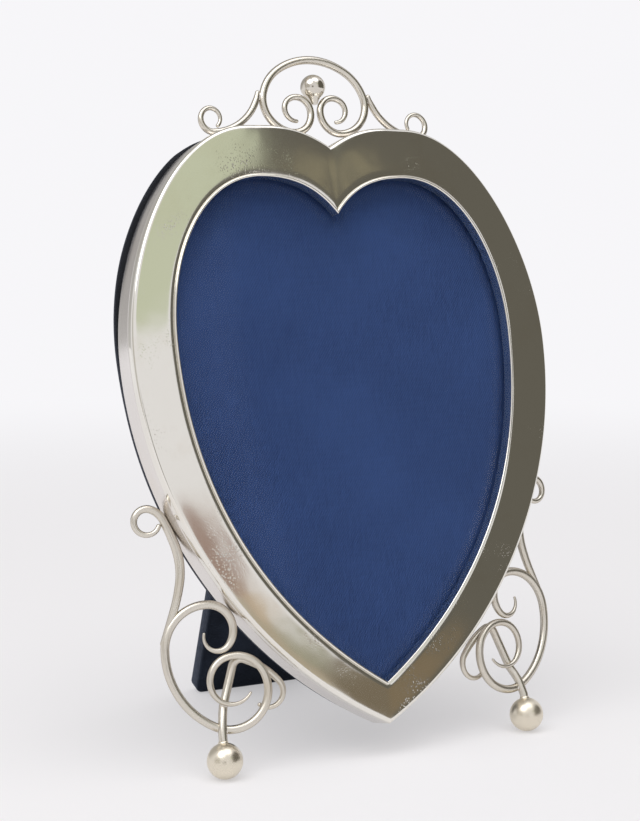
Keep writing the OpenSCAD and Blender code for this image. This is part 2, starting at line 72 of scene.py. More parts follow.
def length(name, text, mm):
    """A size in metres, given in millimetres."""
    return FloatProperty(name=name, description=text, default=mm * MM, unit="LENGTH", precision=5)


def angle(name, text, degrees):
    """An angle in radians, given in degrees."""
    return FloatProperty(name=name, description=text, default=radians(degrees), subtype="ANGLE")


def colour(name, text, rgb):
    """A linear colour."""
    return FloatVectorProperty(
        name=name, description=text, default=rgb, subtype="COLOR", size=3, min=0, max=1)


class HEARTFRAME_PG_front(bpy.types.PropertyGroup):
    """Sizes of the silver front."""

    notch_h: length("Notch height", "Outer notch above the lower tip", 154.2)
    lobe_h: length("Lobe height", "Lobe tops above the lower tip", 159.6)
    lobe_x: length("Lobe distance", "Lobe top from the centre line", 23.2)
    half_w: length("Half width", "Half of the greatest width", 62.2)
    wide_h: length("Widest height", "Height at which the heart is widest", 99.6)
    notch_angle: angle("Notch angle", "Notch flank from the vertical", 57)
    tip_angle: angle("Tip angle", "Lower flank from the vertical", 63)
    sight_notch_h: length("Sight notch", "Notch of the opening above the lower tip", 136.6)
    sight_lobe_h: length("Sight lobe height", "Lobe tops of the opening", 146.2)
    sight_lobe_x: length("Sight lobe distance", "Opening's lobe top from the centre", 21.5)
    sight_half_w: length("Sight half width", "Half of the opening's width", 50.6)
    sight_wide_h: length("Sight widest height", "Height of the opening's widest place", 102.6)
    sight_tip_h: length("Sight tip", "Lower tip of the opening", 10.1)
    sight_notch_angle: angle("Sight notch angle", "Opening's notch flank", 38)
    sight_tip_angle: angle("Sight tip angle", "Opening's lower flank", 57)
    sheet_t: length("Sheet", "Thickness of the silver sheet", 0.7)
    shoulder_r: length("Shoulder", "Radius of the rolled shoulder", 1.1)
    dome_rise: length("Crown", "Rise of the face at the sight edge", 0.2)
    band_front: length("Band front", "Depth at which the band starts", 2.8)
    band_back: length("Band back", "Depth at which the band ends", 10)
    rim_t: length("Rim thickness", "Thickness of the sight rim", 0.7)
    rim_proud: length("Rim height", "Sight rim above the face", 0.45)
    rim_foot: length("Rim foot", "Depth of the sight rim's foot", 3)
    seam: length("Seam", "Width of the seam between face and band", 0.16)
    beat: length("Hand work", "Unevenness of the hand worked sheet", 0.018)


class HEARTFRAME_PG_wire(bpy.types.PropertyGroup):
    """Sizes of the wirework."""

    crest_d: length("Crest wire", "Diameter of the crest wire", 2.2)
    crest_arm_d: length("Crest arm", "Diameter of the crest's side arms", 1.9)
    crest_ball_d: length("Crest ball", "Diameter of the crest's ball", 6.8)
    crest_rise: length("Crest rise", "Top of the arch above the lobe tops", 20.3)
    crest_ball_rise: length("Crest ball rise", "Crest's ball above the lobe tops", 12.7)
    foot_d: length("Foot wire", "Diameter of the feet's scroll wire", 2.25)
    foot_arm_d: length("Foot arm", "Diameter of the feet's outer arm", 2.5)
    foot_ball_d: length("Foot ball", "Diameter of the ball feet", 9.2)
    foot_seat_h: length("Foot seat", "Height on the flank of the foot's joint", 50)
    foot_drop: length("Foot drop", "Ball's centre below the foot's seat", 53.5)
    foot_ball_in: length("Ball inset", "Ball's centre inwards from the seat", 4.6)
    foot_ball_out: length("Ball stand", "Ball in front of the scroll", 1.5)
    foot_turn: angle("Foot turn", "How far the feet are turned back outside", 10)
    foot_turn_in: length("Turn line", "Line of the turn inwards from the seat", 8)
    seat_rise: length("Curl rise", "Height of the arm's curl above the seat", 6)
    seat_out: length("Curl reach", "How far the flank widens up to the curl", 2.86)
    bend_step: angle("Bend step", "Largest turn between two rings of a wire", 4)
    sides: IntProperty(name="Sides", description="Sides of a wire's round section", default=20)


class HEARTFRAME_PG_back(bpy.types.PropertyGroup):
    """Sizes of the glass, mount, back, hinge and strut."""

    glass_t: length("Glass", "Thickness of the glass", 2.2)
    glass_edge_t: length("Glass edge", "Thickness left at the bevelled edge", 1.1)
    bevel_w: length("Bevel", "Width of the glass's bevel", 6.5)
    glass_lap: length("Glass lap", "Glass behind the sight rim", 2)
    cloth_t: length("Cloth", "Thickness of the mount's cloth", 0.4)
    velvet_t: length("Velvet", "Thickness of the velvet", 0.6)
    back_inset: length("Back inset", "Back in from the band all round", 0.5)
    back_out: length("Back reach", "Velvet standing out behind the lobes", 1.5)
    flange_t: length("Flange", "Wooden flange behind the band", 2.4)
    glass_gap: length("Rebate gap", "Gap round the glass", 0.3)
    panel_gap: length("Panel gap", "Gap round the back panel", 0.4)
    button_t: length("Button", "Thickness of a turn button", 1)
    button_gap: length("Button gap", "Gap between button and velvet", 0.3)
    hinge_h: length("Hinge height", "Hinge pin above the lower tip", 113.6)
    leaf_t: length("Hinge plate", "Thickness of the hinge plates", 0.8)
    plate_gap: length("Plate gap", "Gap behind the folded strut's plate", 0.15)
    knuckle_r: length("Knuckle", "Outer radius of the knuckles", 1.7)
    screw_y: length("Screw row", "Hinge screws from the pin", 7.2)
    screw_pitch: length("Screw pitch", "Spacing of the hinge screws", 11)
    strut_w: length("Strut width", "Width of the strut", 38)
    strut_t: length("Strut board", "Thickness of the strut's board", 4)
    strut_corner: length("Strut corner", "Size of the strut's cut corners", 3)
    strut_gap: length("Strut gap", "Gap between hinge and heel", 0.3)
    stop_gap: length("Stop gap", "Gap between the open heel and its stop", 0.05)
    velvet_edge: length("Velvet edge", "Rounding of the covered edges", 0.8)


class HEARTFRAME_PG_finish(bpy.types.PropertyGroup):
    """Colours of the finishes."""

    silver: colour("Silver", "Polished silver", (0.84, 0.815, 0.755))
    silver_warm: colour("Warm silver", "Silver under a thin tarnish", (0.66, 0.56, 0.42))
    band_silver: colour("Band silver", "Silver of the band", (0.80, 0.765, 0.735))
    wire_silver: colour("Wire silver", "Silver of the wirework", (0.70, 0.66, 0.585))
    foot_silver: colour("Foot silver", "Worn silver of the ball feet", (0.78, 0.72, 0.60))
    cloth: colour("Cloth", "Blue of the mount's cloth", (0.030, 0.062, 0.185))
    cloth_dark: colour("Cloth shadow", "Blue between the cloth's ribs", (0.016, 0.036, 0.120))
    velvet: colour("Velvet", "Black velvet of the back", (0.006, 0.0065, 0.008))
    strut_velvet: colour("Strut velvet", "Blue black velvet of the strut", (0.008, 0.012, 0.021))
    wood: colour("Wood", "Stained wood", (0.105, 0.046, 0.019))
    card: colour("Card", "Mount card", (0.50, 0.45, 0.36))
    brass: colour("Brass", "Satin brass", (0.62, 0.44, 0.18))
    floor: colour("Floor", "Pale floor", (0.88, 0.865, 0.867))
    white: colour("Background", "Pale background", (0.93, 0.923, 0.945))


class HEARTFRAME_PG_stage(bpy.types.PropertyGroup):
    """The camera, the floor and the light."""

    camera: FloatVectorProperty(
        name="Camera", description="Place of the camera", subtype="TRANSLATION", size=3,
        default=(-0.2252, -0.4303, 0.1380))
    aim: FloatVectorProperty(
        name="Camera turn", description="Turn of the camera about X and Z", subtype="EULER",
        size=3, default=(radians(84.03), 0, radians(-27.87)))
    focus_px: FloatProperty(
        name="Focal length", description="Focal length in pixels of the picture", default=1755)
    picture_h: IntProperty(
        name="Picture height", description="Height of the picture in pixels", default=821)
    floor_r: FloatProperty(
        name="Floor radius", description="Radius of the floor", default=2.5, unit="LENGTH")
    key: FloatProperty(name="Key light", description="Power of the key light", default=2.5)
    fill: FloatProperty(name="Fill light", description="Power of the fill light", default=2.0)


FRONT, WIRE, BACK, FINISH, STAGE = (
    "heartframe_front", "heartframe_wire", "heartframe_back", "heartframe_finish",
    "heartframe_stage")


def sizes(group):
    """The property group of that name on the scene."""
    return getattr(bpy.context.scene, group)


def tone(name, light=1):
    """A colour of the finishes, made lighter or darker by a factor."""
    return tuple(light * c for c in getattr(sizes(FINISH), name))


def hinge_depth():
    """Depth of the hinge pin behind the shoulder plane."""
    b = sizes(BACK)
    return velvet_back() + b.plate_gap + b.knuckle_r


def leaf_back():
    """Depth of the hinge leaf's back on the frame's side."""
    b = sizes(BACK)
    return velvet_back() + b.plate_gap + b.leaf_t


def wire_depth():
    """Depth of the wirework: the middle of the band."""
    f = sizes(FRONT)
    return -(f.band_front + f.band_back) / 2


def velvet_back():
    """Depth of the back's velvet surface behind the shoulder plane."""
    f, b = sizes(FRONT), sizes(BACK)
    return f.band_back + b.flange_t + b.velvet_t


def plane():
    """Matrix from the work plane to the frame: the hinge pin fixes its origin."""
    turn = Matrix((Vector((1, 0, 0)), FACE_UP, FACE_NORMAL)).transposed()
    pin = Vector((0, sizes(BACK).hinge_h, -hinge_depth()))
    return Matrix.Translation(HINGE_PIN - turn @ pin) @ turn.to_4x4()


def strut_plane():
    """Matrix from the folded strut, with y up from the pin, to the open strut's place."""
    pin = Vector((0, sizes(BACK).hinge_h, -hinge_depth()))
    return plane() @ Matrix.Translation(pin) @ Matrix.Rotation(OPEN_ANGLE, 4, "X")


# Outline of the heart

CURVE_STEPS = (28, 48, 56)
FRAME_PULL = (12.3, 6, 22.5, 27, 41.5, 42)
SIGHT_PULL = (11, 6, 17, 24, 48, 29)


def cubic(a, b, c, d, steps):
    """Points of a cubic curve, without the last, and its direction at each."""
    t = np.arange(steps)[:, None] / steps
    s = 1 - t
    points = s**3 * a + 3 * s**2 * t * b + 3 * s * t**2 * c + t**3 * d
    along = s**2 * (b - a) + 2 * s * t * (c - b) + t**2 * (d - c)
    return points, along / np.linalg.norm(along, axis=1)[:, None]


def heart_line(shape, pull, grow):
    """Closed outline of a heart grown by a distance, clockwise from the notch."""
    notch_h, notch_angle, lobe_x, lobe_h, half_w, wide_h, tip_h, tip_angle = shape
    k = [p * MM for p in pull]
    across, up = np.array((1.0, 0.0)), np.array((0.0, 1.0))
    notch, tip = notch_h * up, tip_h * up
    lobe, side = np.array((lobe_x, lobe_h)), np.array((half_w, wide_h))
    away = np.array((sin(notch_angle), cos(notch_angle)))
    home = np.array((sin(tip_angle), cos(tip_angle)))
    parts = (
        cubic(notch, notch + k[0] * away, lobe - k[1] * across, lobe, CURVE_STEPS[0]),
        cubic(lobe, lobe + k[2] * across, side + k[3] * up, side, CURVE_STEPS[1]),
        cubic(side, side - k[4] * up, tip + k[5] * home, tip, CURVE_STEPS[2]))
    points = np.vstack([p for p, _ in parts])[1:]
    along = np.vstack([d for _, d in parts])[1:]
    right = points + grow * np.stack((-along[:, 1], along[:, 0]), 1)
    top = notch + grow / sin(notch_angle) * up
    end = tip - grow / sin(tip_angle) * up
    half = len(right) // 2
    for i, point in enumerate(right):
        if point[0] < 0:
            right[i] = top if i < half else end
    return np.vstack((top, right, end, right[::-1] * (-1, 1)))


def frame_line(grow):
    """Outline of the silver front."""
    f = sizes(FRONT)
    shape = (f.notch_h, f.notch_angle, f.lobe_x, f.lobe_h, f.half_w, f.wide_h, 0, f.tip_angle)
    return heart_line(shape, FRAME_PULL, grow)


def sight_line(grow):
    """Outline of the sight opening."""
    f = sizes(FRONT)
    shape = (f.sight_notch_h, f.sight_notch_angle, f.sight_lobe_x, f.sight_lobe_h,
             f.sight_half_w, f.sight_wide_h, f.sight_tip_h, f.sight_tip_angle)
    return heart_line(shape, SIGHT_PULL, grow)


def quarter(steps):
    """Angles over a quarter turn."""
    return np.linspace(0, pi / 2, steps)


def outline_ring(line, z):
    """Ring of an outline at one depth."""
    return np.column_stack((line, np.full(len(line), z)))


def ring(outer, inner, part, z):
    """Ring of points part of the way from the frame's outline to the sight's."""
    return outline_ring((1 - part) * frame_line(outer) + part * sight_line(inner), z)


# Making of meshes


class Edit:
    """The edit mesh of a mesh, written back at the end."""

    def __init__(self, mesh):
        self.mesh = mesh
        self.work = bmesh.new()
        self.work.from_mesh(mesh)

    def __enter__(self):
        return self.work

    def __exit__(self, *_):
        self.work.to_mesh(self.mesh)
        self.work.free()


def mesh_of(name, points, faces=(), edges=()):
    """Mesh of points with its faces or edges."""
    mesh = bpy.data.meshes.new(name)
    mesh.from_pydata([tuple(point) for point in points], edges, faces)
    return mesh


def placed(name, data):
    """Object of these data in the scene."""
    made = bpy.data.objects.new(name, data)
    bpy.context.scene.collection.objects.link(made)
    return made


def coat(mesh, material):
    """Gives a mesh one material."""
    mesh.materials.clear()
    mesh.materials.append(material)


def finished(name, mesh, material, smooth_angle=35):
    """Object of a mesh with outward faces, sharp only at its edges."""
    with Edit(mesh) as work:
        bmesh.ops.remove_doubles(work, verts=work.verts, dist=WELD)
        bmesh.ops.dissolve_degenerate(work, edges=work.edges, dist=1e-7)
        bmesh.ops.recalc_face_normals(work, faces=work.faces)
        for face in work.faces:
            face.smooth = True
        for edge in work.edges:
            if len(edge.link_faces) == 2 and edge.calc_face_angle(0) > radians(smooth_angle):
                edge.smooth = False
    coat(mesh, material)
    return placed(name, mesh)


def walls(deep, count):
    """Faces between each closed ring of points and the next."""
    faces = []
    for j in range(deep - 1):
        a, b = j * count, (j + 1) * count
        for i in range(count):
            k = (i + 1) % count
            faces.append((a + i, a + k, b + k, b + i))
    return faces


def loft(name, rings, material, place, crease=True, smooth_angle=35):
    """Closed loft round the heart through rings of equal length, back to the first."""
    closed = rings + rings[:1]
    mesh = mesh_of(name, np.vstack(closed), walls(len(closed), len(rings[0])))
    mesh.transform(place)
    piece = finished(name, mesh, material, smooth_angle)
    if crease:
        sharpen_mitres(piece, place)
    return piece


def sharpen_mitres(piece, place):
    """Marks the mitre lines on the centre line as sharp."""
    back = place.inverted()
    verts = piece.data.vertices
    for edge in piece.data.edges:
        ends = [back @ verts[v].co for v in edge.vertices]
        if all(abs(p.x) < 1e-6 for p in ends):
            edge.use_edge_sharp = True


def stack(name, rings, material, place, smooth_angle=35, flat_uv=False):
    """Closed solid through rings of equal length, with flat ends."""
    count = len(rings[0])
    points = np.vstack(rings)
    faces = [tuple(range(count)), tuple(range(len(points) - count, len(points)))]
    mesh = mesh_of(name, points, faces + walls(len(rings), count))
    with Edit(mesh) as work:
        caps = [f for f in work.faces if len(f.verts) > 4]
        bmesh.ops.triangulate(work, faces=caps, ngon_method="EAR_CLIP")
    if flat_uv:
        layer = mesh.uv_layers.new(name="weave")
        for loop in mesh.loops:
            layer.data[loop.index].uv = mesh.vertices[loop.vertex_index].co.xy
    mesh.transform(place)
    return finished(name, mesh, material, smooth_angle)


def turned(name, profile, material, place, around=64):
    """Round piece turned about the work plane's y axis from (radius, height) points."""
    turns = [2 * pi * k / around for k in range(around)]
    points = [(max(r, 1e-9) * cos(turn), h, max(r, 1e-9) * sin(turn))
              for r, h in profile for turn in turns]
    mesh = mesh_of(name, points, walls(len(profile), around))
    mesh.transform(place)
    return finished(name, mesh, material)


def bevelled(mesh, width, segments, angle_limit):
    """Mesh with its edges rounded."""
    blank = placed("blank", mesh)
    bevel = blank.modifiers.new("edges", "BEVEL")
    bevel.width = width
    bevel.segments = segments
    bevel.limit_method = "ANGLE"
    bevel.angle_limit = radians(angle_limit)
    return evaluated_mesh(blank)


def softened(name, node, material, width, segments=2):
    """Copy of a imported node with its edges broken."""
    mesh = frame["nodes"][node].data.copy()
    with Edit(mesh) as work:
        bmesh.ops.remove_doubles(work, verts=work.verts, dist=WELD)
        bmesh.ops.dissolve_limit(
            work, angle_limit=radians(1.5), verts=work.verts, edges=work.edges)
    return finished(name, bevelled(mesh, width, segments, 40), material, 50)


def evaluated_mesh(source):
    """Plain mesh of an object after its modifiers. The object is removed."""
    bpy.context.view_layer.update()
    shown = source.evaluated_get(bpy.context.evaluated_depsgraph_get())
    mesh = bpy.data.meshes.new_from_object(shown)
    bpy.data.objects.remove(source)
    return mesh


def dress(piece, body, slot, *nodes):
    """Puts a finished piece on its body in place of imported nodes."""
    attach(piece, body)
    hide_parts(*nodes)


class Group:
    """Geometry nodes that grow something on a mesh and give it a material."""

    def __init__(self, name, **inputs):
        self.tree = bpy.data.node_groups.new(name, "GeometryNodeTree")
        face = self.tree.interface
        face.new_socket("Geometry", in_out="INPUT", socket_type="NodeSocketGeometry")
        inputs["Finish"] = "Material"
        self.keys = [
            face.new_socket(key, in_out="INPUT", socket_type="NodeSocket" + kind).identifier
            for key, kind in inputs.items()]
        face.new_socket("Geometry", in_out="OUTPUT", socket_type="NodeSocketGeometry")
        self.given = self.tree.nodes.new("NodeGroupInput").outputs

    def node(self, kind, sockets, out=0, **settings):
        """New node: its sockets, then its settings. Returns one of its outputs."""
        new = self.tree.nodes.new(kind)
        for key, value in settings.items():
            setattr(new, key, value)
        for key, value in sockets.items():
            if isinstance(value, bpy.types.NodeSocket):
                self.tree.links.new(value, new.inputs[key])
            else:
                new.inputs[key].default_value = value
        return new.outputs[out] if new.outputs else None

    def attribute(self, name, kind):
        """Attribute of the mesh's points."""
        return self.node("GeometryNodeInputNamedAttribute", {"Name": name}, data_type=kind)

    def grown(self, name, mesh, shape, *values):
        """Plain mesh of the shape grown on a mesh with these values."""
        real = self.node("GeometryNodeRealizeInstances", {"Geometry": shape})
        done = self.node(
            "GeometryNodeSetMaterial", {"Geometry": real, "Material": self.given["Finish"]})
        self.node("NodeGroupOutput", {"Geometry": done})
        blank = placed(name + "_points", mesh)
        growth = blank.modifiers.new("growth", "NODES")
        growth.node_group = self.tree
        for key, value in zip(self.keys, values):
            growth[key] = value
        return evaluated_mesh(blank)


# Bent wires

CREST_BENDS = ((18.7, -34), (12.2, -39), (7.9, -50), (9, -53), (5.6, -102), (4.1, -115),
               (3.3, -146))
CREST_ARM_BENDS = ((13.98, 29), (15.67, 44), (3.3, 148))
CREST_CURLS = {"left": (2.7, 174), "right": (2.9, 150)}
CREST_ARM_START = (16.97, 10.54, -76)
FOOT_BENDS = ((3.6, -157), (6.5, -124), (11.2, -91), (21.3, -66), (10.2, -61), (9.7, -77),
              (8.2, -85), (6.3, -88), (5.7, -132))
FOOT_START = (-2.7, -21.5, -73)
FOOT_ARM_BENDS = ((149.7, -3), (41.3, -11), (19.6, -30), (54.7, -7), (5.7, -43), (3.3, -268))
FOOT_ARM_START = (8.25, -22.8, 117)
FOOT_STEM_BENDS = ((30, 19), (300, 2), (2.4, 92), (23, 27), (4, 170))
STEM_SOCKET = 1
CREST_TAPER = ((0, 1), (16, 0.95), (42, 0.9), (56, 0.7), (62, 0.45))
CREST_ARM_TAPER = ((0, 0.7), (3, 1), (18, 0.95), (35, 0.55))
FOOT_TAPER = ((0, 0.3), (12, 0.9), (22, 1), (90, 0.95), (112, 0.75), (126, 0.28))
FOOT_ARM_TAPER = ((0, 0.45), (9, 0.85), (24, 1), (34, 0.85), (53, 0.5))
FOOT_STEM_TAPER = ((0, 1), (26, 0.95), (47, 0.5))
FOOT_STEM_SET = ((0, -0.7), (1.2, -0.7), (5, -0.3), (12, 1), (48, 1))


def bent(start, bends):
    """Points along a wire, as x, y and heading in degrees, from its list of bends."""
    step = sizes(WIRE).bend_step
    x, y, heading = start
    points = [(x, y, heading)]
    for radius, turn in bends:
        count = ceil(abs(radians(turn)) / step)
        side = 1 if turn > 0 else -1
        a = radians(heading)
        for i in range(1, count + 1):
            b = a + radians(turn) * i / count
            points.append((x + side * radius * MM * (sin(b) - sin(a)),
                           y - side * radius * MM * (cos(b) - cos(a)),
                           heading + turn * i / count))
        x, y, heading = points[-1]
    return np.array(points)


def runs_along(path):
    """Length along a path at each of its points."""
    steps = np.hypot(*np.diff(path[:, :2], axis=0).T)
    return np.concatenate(((0,), np.cumsum(steps)))


def eased(runs, knots):
    """Values between knots given in millimetres along a wire, without corners."""
    at = np.array([k[0] for k in knots]) * MM
    values = np.array([k[1] for k in knots], float)
    i = np.clip(np.searchsorted(at, runs, side="right") - 1, 0, len(at) - 2)
    t = np.clip((runs - at[i]) / (at[i + 1] - at[i]), 0, 1)
    t = 0.5 * t + 0.5 * t * t * (3 - 2 * t)
    return values[i] + (values[i + 1] - values[i]) * t


def wire_line(path, diameter, taper, back_set=None, mirror=False, foot=False):
    """Centre points and radii of a wire in the work plane, with rounded ends."""
    runs = runs_along(path)
    radii = diameter / 2 * eased(runs, taper)
    z = np.full(len(path), wire_depth())
    if back_set:
        z = z - diameter * eased(runs, back_set)
    points = np.column_stack((path[:, 0], path[:, 1], z))
    cap = np.radians((18, 36, 52, 66, 78, 86))
    for first in (True, False):
        end, heading = (0, path[0, 2] + 180) if first else (-1, path[-1, 2])
        out = np.array((cos(radians(heading)), sin(radians(heading)), 0))
        more = points[end] + np.outer(np.sin(cap) * radii[end], out)
        less = np.cos(cap) * radii[end]
        if first:
            points, radii = np.vstack((more[::-1], points)), np.concatenate((less[::-1], radii))
        else:
            points, radii = np.vstack((points, more)), np.concatenate((radii, less))
    if foot:
        points = foot_turned(points)
    if mirror:
        points = points * (-1, 1, 1)
    return points, radii


def foot_turned(points):
    """Points of a right foot turned back about its upright line."""
    w = sizes(WIRE)
    axis = foot_seat()[0] - w.foot_turn_in
    depth = wire_depth()
    x, y, z = (points - (axis, 0, depth)).T
    c, s = cos(w.foot_turn), sin(w.foot_turn)
    return np.column_stack((axis + x * c + z * s, y, depth - x * s + z * c))


def wire_piece(name, line, material, place):
    """Solid wire through points with a radius each."""
    points, radii = line
    mesh = mesh_of(name, points, edges=[(i, i + 1) for i in range(len(points) - 1)])
    mesh.attributes.new("wire_radius", "FLOAT", "POINT").data.foreach_set("value", radii)
    mesh.transform(place)
    group = Group("Bent Wire", Sides="Int")
    curve = group.node("GeometryNodeMeshToCurve", {"Mesh": group.given["Geometry"]})
    section = group.node(
        "GeometryNodeCurvePrimitiveCircle", {"Radius": 1, "Resolution": group.given["Sides"]})
    skin = group.node("GeometryNodeCurveToMesh", {
        "Curve": curve, "Profile Curve": section, "Fill Caps": True,
        "Scale": group.attribute("wire_radius", "FLOAT")})
    return finished(name, group.grown(name, mesh, skin, sizes(WIRE).sides, material), material)


def bend_wires(lines, material):
    """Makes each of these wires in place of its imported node."""
    for node, line in lines.items():
        piece = wire_piece(node + "_wire", line, material, plane())
        dress(piece, "frame", "silver_wire", node)


def foot_seat():
    """Point of the flank from which the feet's wires are measured."""
    w = sizes(WIRE)
    line = frame_line(0)
    flank = line[: len(line) // 2 + 1]
    flank = flank[flank[:, 1] < sizes(FRONT).wide_h][::-1]
    x = np.interp(w.foot_seat_h + w.seat_rise, flank[:, 1], flank[:, 0]) - w.seat_out
    return np.array((x, w.foot_seat_h))


def from_point(start, x, y):
    """Start of a wire: its offset in millimetres added to a point in metres."""
    return (x + start[0] * MM, y + start[1] * MM, start[2])


def ball_centre():
    """Centre of the right ball foot in the work plane."""
    w = sizes(WIRE)
    seat = foot_seat()
    return np.array((seat[0] - w.foot_ball_in, seat[1] - w.foot_drop))


def crest_lines():
    """Centre lines of the crest: the scroll and its two arms."""
    w, f = sizes(WIRE), sizes(FRONT)
    half = bent((0, f.lobe_h + w.crest_rise, 0), CREST_BENDS)
    whole = np.vstack((half[:0:-1] * (-1, 1, -1), half))
    span = runs_along(half)[-1] / MM
    taper = [(span - s, t) for s, t in reversed(CREST_TAPER[1:])]
    taper += [(span + s, t) for s, t in CREST_TAPER]
    lines = {"crest_scroll": wire_line(whole, w.crest_d, taper)}
    for side, curl in CREST_CURLS.items():
        path = bent(from_point(CREST_ARM_START, 0, f.lobe_h), CREST_ARM_BENDS + (curl,))
        lines["crest_arm_" + side] = wire_line(
            path, w.crest_arm_d, CREST_ARM_TAPER, mirror=side == "left")
    return lines


def foot_lines():
    """Centre lines of both feet: scroll, arm and stem."""
    w = sizes(WIRE)
    seat, ball = foot_seat(), ball_centre()
    stem_y = ball[1] + w.foot_ball_d / 2 - STEM_SOCKET * MM
    lines = {}
    for side in ("left", "right"):
        flip = side == "left"
        lines["foot_scroll_" + side] = wire_line(
            bent(from_point(FOOT_START, *seat), FOOT_BENDS), w.foot_d, FOOT_TAPER, None,
            flip, True)
        lines["foot_arm_" + side] = wire_line(
            bent(from_point(FOOT_ARM_START, *seat), FOOT_ARM_BENDS), w.foot_arm_d,
            FOOT_ARM_TAPER, None, flip, True)
        lines["foot_stem_" + side] = wire_line(
            bent((ball[0], stem_y, 90), FOOT_STEM_BENDS), w.foot_d, FOOT_STEM_TAPER,
            FOOT_STEM_SET, flip, True)
    return lines


# Finishes


class Value:
    """A shader socket that takes part in sums written in Python."""

    def __init__(self, paint, socket):
        self.paint = paint
        self.socket = socket

    def maths(self, operation, *terms):
        """Value of a Math node on these terms."""
        return self.paint.node("ShaderNodeMath", {"operation": operation}, dict(enumerate(terms)))

    def __add__(self, other):
        return self.maths("ADD", self, other)

    def __sub__(self, other):
        return self.maths("SUBTRACT", self, other)

    def __mul__(self, other):
        return self.maths("MULTIPLY", self, other)

    def sine(self):
        """Sine of the value."""
        return self.maths("SINE", self)

    def spread(self, low, high, to_low=0.0, to_high=1.0):
        """The value mapped smoothly from one range to another."""
        return self.paint.node(
            "ShaderNodeMapRange", {"interpolation_type": "SMOOTHSTEP"},
            {"Value": self, "From Min": low, "From Max": high, "To Min": to_low,
             "To Max": to_high})


class Paint:
    """Builds the nodes of a material or of the world."""

    def __init__(self, owner):
        owner.use_nodes = True
        self.owner = owner
        self.tree = owner.node_tree
        self.tree.nodes.clear()

    def node(self, kind, settings=None, sockets=None, out=0):
        """New node: its settings, then its sockets. Returns one of its outputs."""
        new = self.tree.nodes.new(kind)
        for key, value in (settings or {}).items():
            setattr(new, key, value)
        for key, value in (sockets or {}).items():
            if isinstance(value, Value):
                self.tree.links.new(value.socket, new.inputs[key])
            else:
                new.inputs[key].default_value = value
        return Value(self, new.outputs[out]) if new.outputs else None

    def place(self):
        """Object coordinates, in metres."""
        return self.node("ShaderNodeTexCoord", out="Object")

    def stretched(self, place, scale, turn=(0, 0, 0)):
        """Coordinates turned and scaled."""
        return self.node(
            "ShaderNodeMapping", {}, {"Vector": place, "Scale": scale, "Rotation": turn})

    def noise(self, place, scale, detail=3.0, rough=0.55):
        """Noise from 0 to 1."""
        return self.node("ShaderNodeTexNoise", {}, {
            "Vector": place, "Scale": scale, "Detail": detail, "Roughness": rough})

    def cells(self, place, scale):
        """Distance to the nearest of scattered points."""
        return self.node("ShaderNodeTexVoronoi", {}, {"Vector": place, "Scale": scale})

    def mix(self, factor, a, b):
        """Mixed colour."""
        sides = {0: factor}
        for key, value in ((6, a), (7, b)):
            sides[key] = value if isinstance(value, Value) else (*value, 1)
        return self.node("ShaderNodeMix", {"data_type": "RGBA"}, sides, out=2)

    def bump(self, height, distance, normal=None):
        """Normal of a height map."""
        sockets = {"Height": height, "Distance": distance}
        if normal:
            sockets["Normal"] = normal
        return self.node("ShaderNodeBump", {}, sockets)

    def surface(self, **sockets):
        """Ends the material in a Principled shader with these sockets."""
        named = {key.replace("_", " "): value for key, value in sockets.items()}
        for key, value in named.items():
            if isinstance(value, tuple) and len(value) == 3:
                named[key] = (*value, 1)
        shader = self.node("ShaderNodeBsdfPrincipled", {}, named)
        self.node("ShaderNodeOutputMaterial", {}, {"Surface": shader})
        return self.owner


def paint(name):
    """Paint for a new material."""
    return Paint(bpy.data.materials.new(name))


def silver(name, base, dull=0.13, tarnish=0.5, pits=0.5, edge=(1, 1, 1)):
    """Polished silver: soft waves, hairlines, pits and a thin uneven tarnish."""
    p = paint(name)
    place = p.place()
    clouds = p.noise(place, 38, 5, 0.6)
    patches = p.noise(place, 95, 4, 0.55)
    hair = p.noise(p.stretched(place, (1, 1, 22), (0.5, 0.4, 0.3)), 900, 2, 0.5)
    specks = p.cells(place, 1700).spread(0.0, 0.42, 1, 0) * p.noise(place, 62, 4).spread(0.5, 0.7)
    tarnished = (clouds.spread(0.5, 0.78) * 0.6 + patches.spread(0.56, 0.75) * 0.4) * tarnish
    tint = p.mix(tarnished, tone(base), tone("silver_warm"))
    tint = p.mix(specks * (0.3 * pits), tint, (0.3, 0.25, 0.2))
    rough = clouds.spread(0.3, 0.75, dull * 0.8, dull * 1.3) + specks * (0.5 * pits) + hair * 0.02
    waves = p.bump(p.noise(place, 75, 2, 0.35), 0.00006)
    fine = p.bump(hair * (4 * dull * dull) - specks * pits, 0.00002, waves)
    return p.surface(Base_Color=tint, Metallic=1.0, Roughness=rough, Specular_Tint=edge,
                     Normal=fine)


def brass(name):
    """Satin brass with brown in scattered cloudy patches."""
    p = paint(name)
    place = p.place()
    clouds = p.noise(place, 260, 5, 0.6)
    hair = p.noise(p.stretched(place, (40, 1, 1)), 700, 2)
    tint = p.mix(clouds.spread(0.45, 0.8) * 0.55, tone("brass"), (0.23, 0.13, 0.05))
    rough = clouds.spread(0.3, 0.8, 0.24, 0.5) + hair * 0.06
    return p.surface(Base_Color=tint, Metallic=1.0, Roughness=rough,
                     Normal=p.bump(hair, 0.00001))


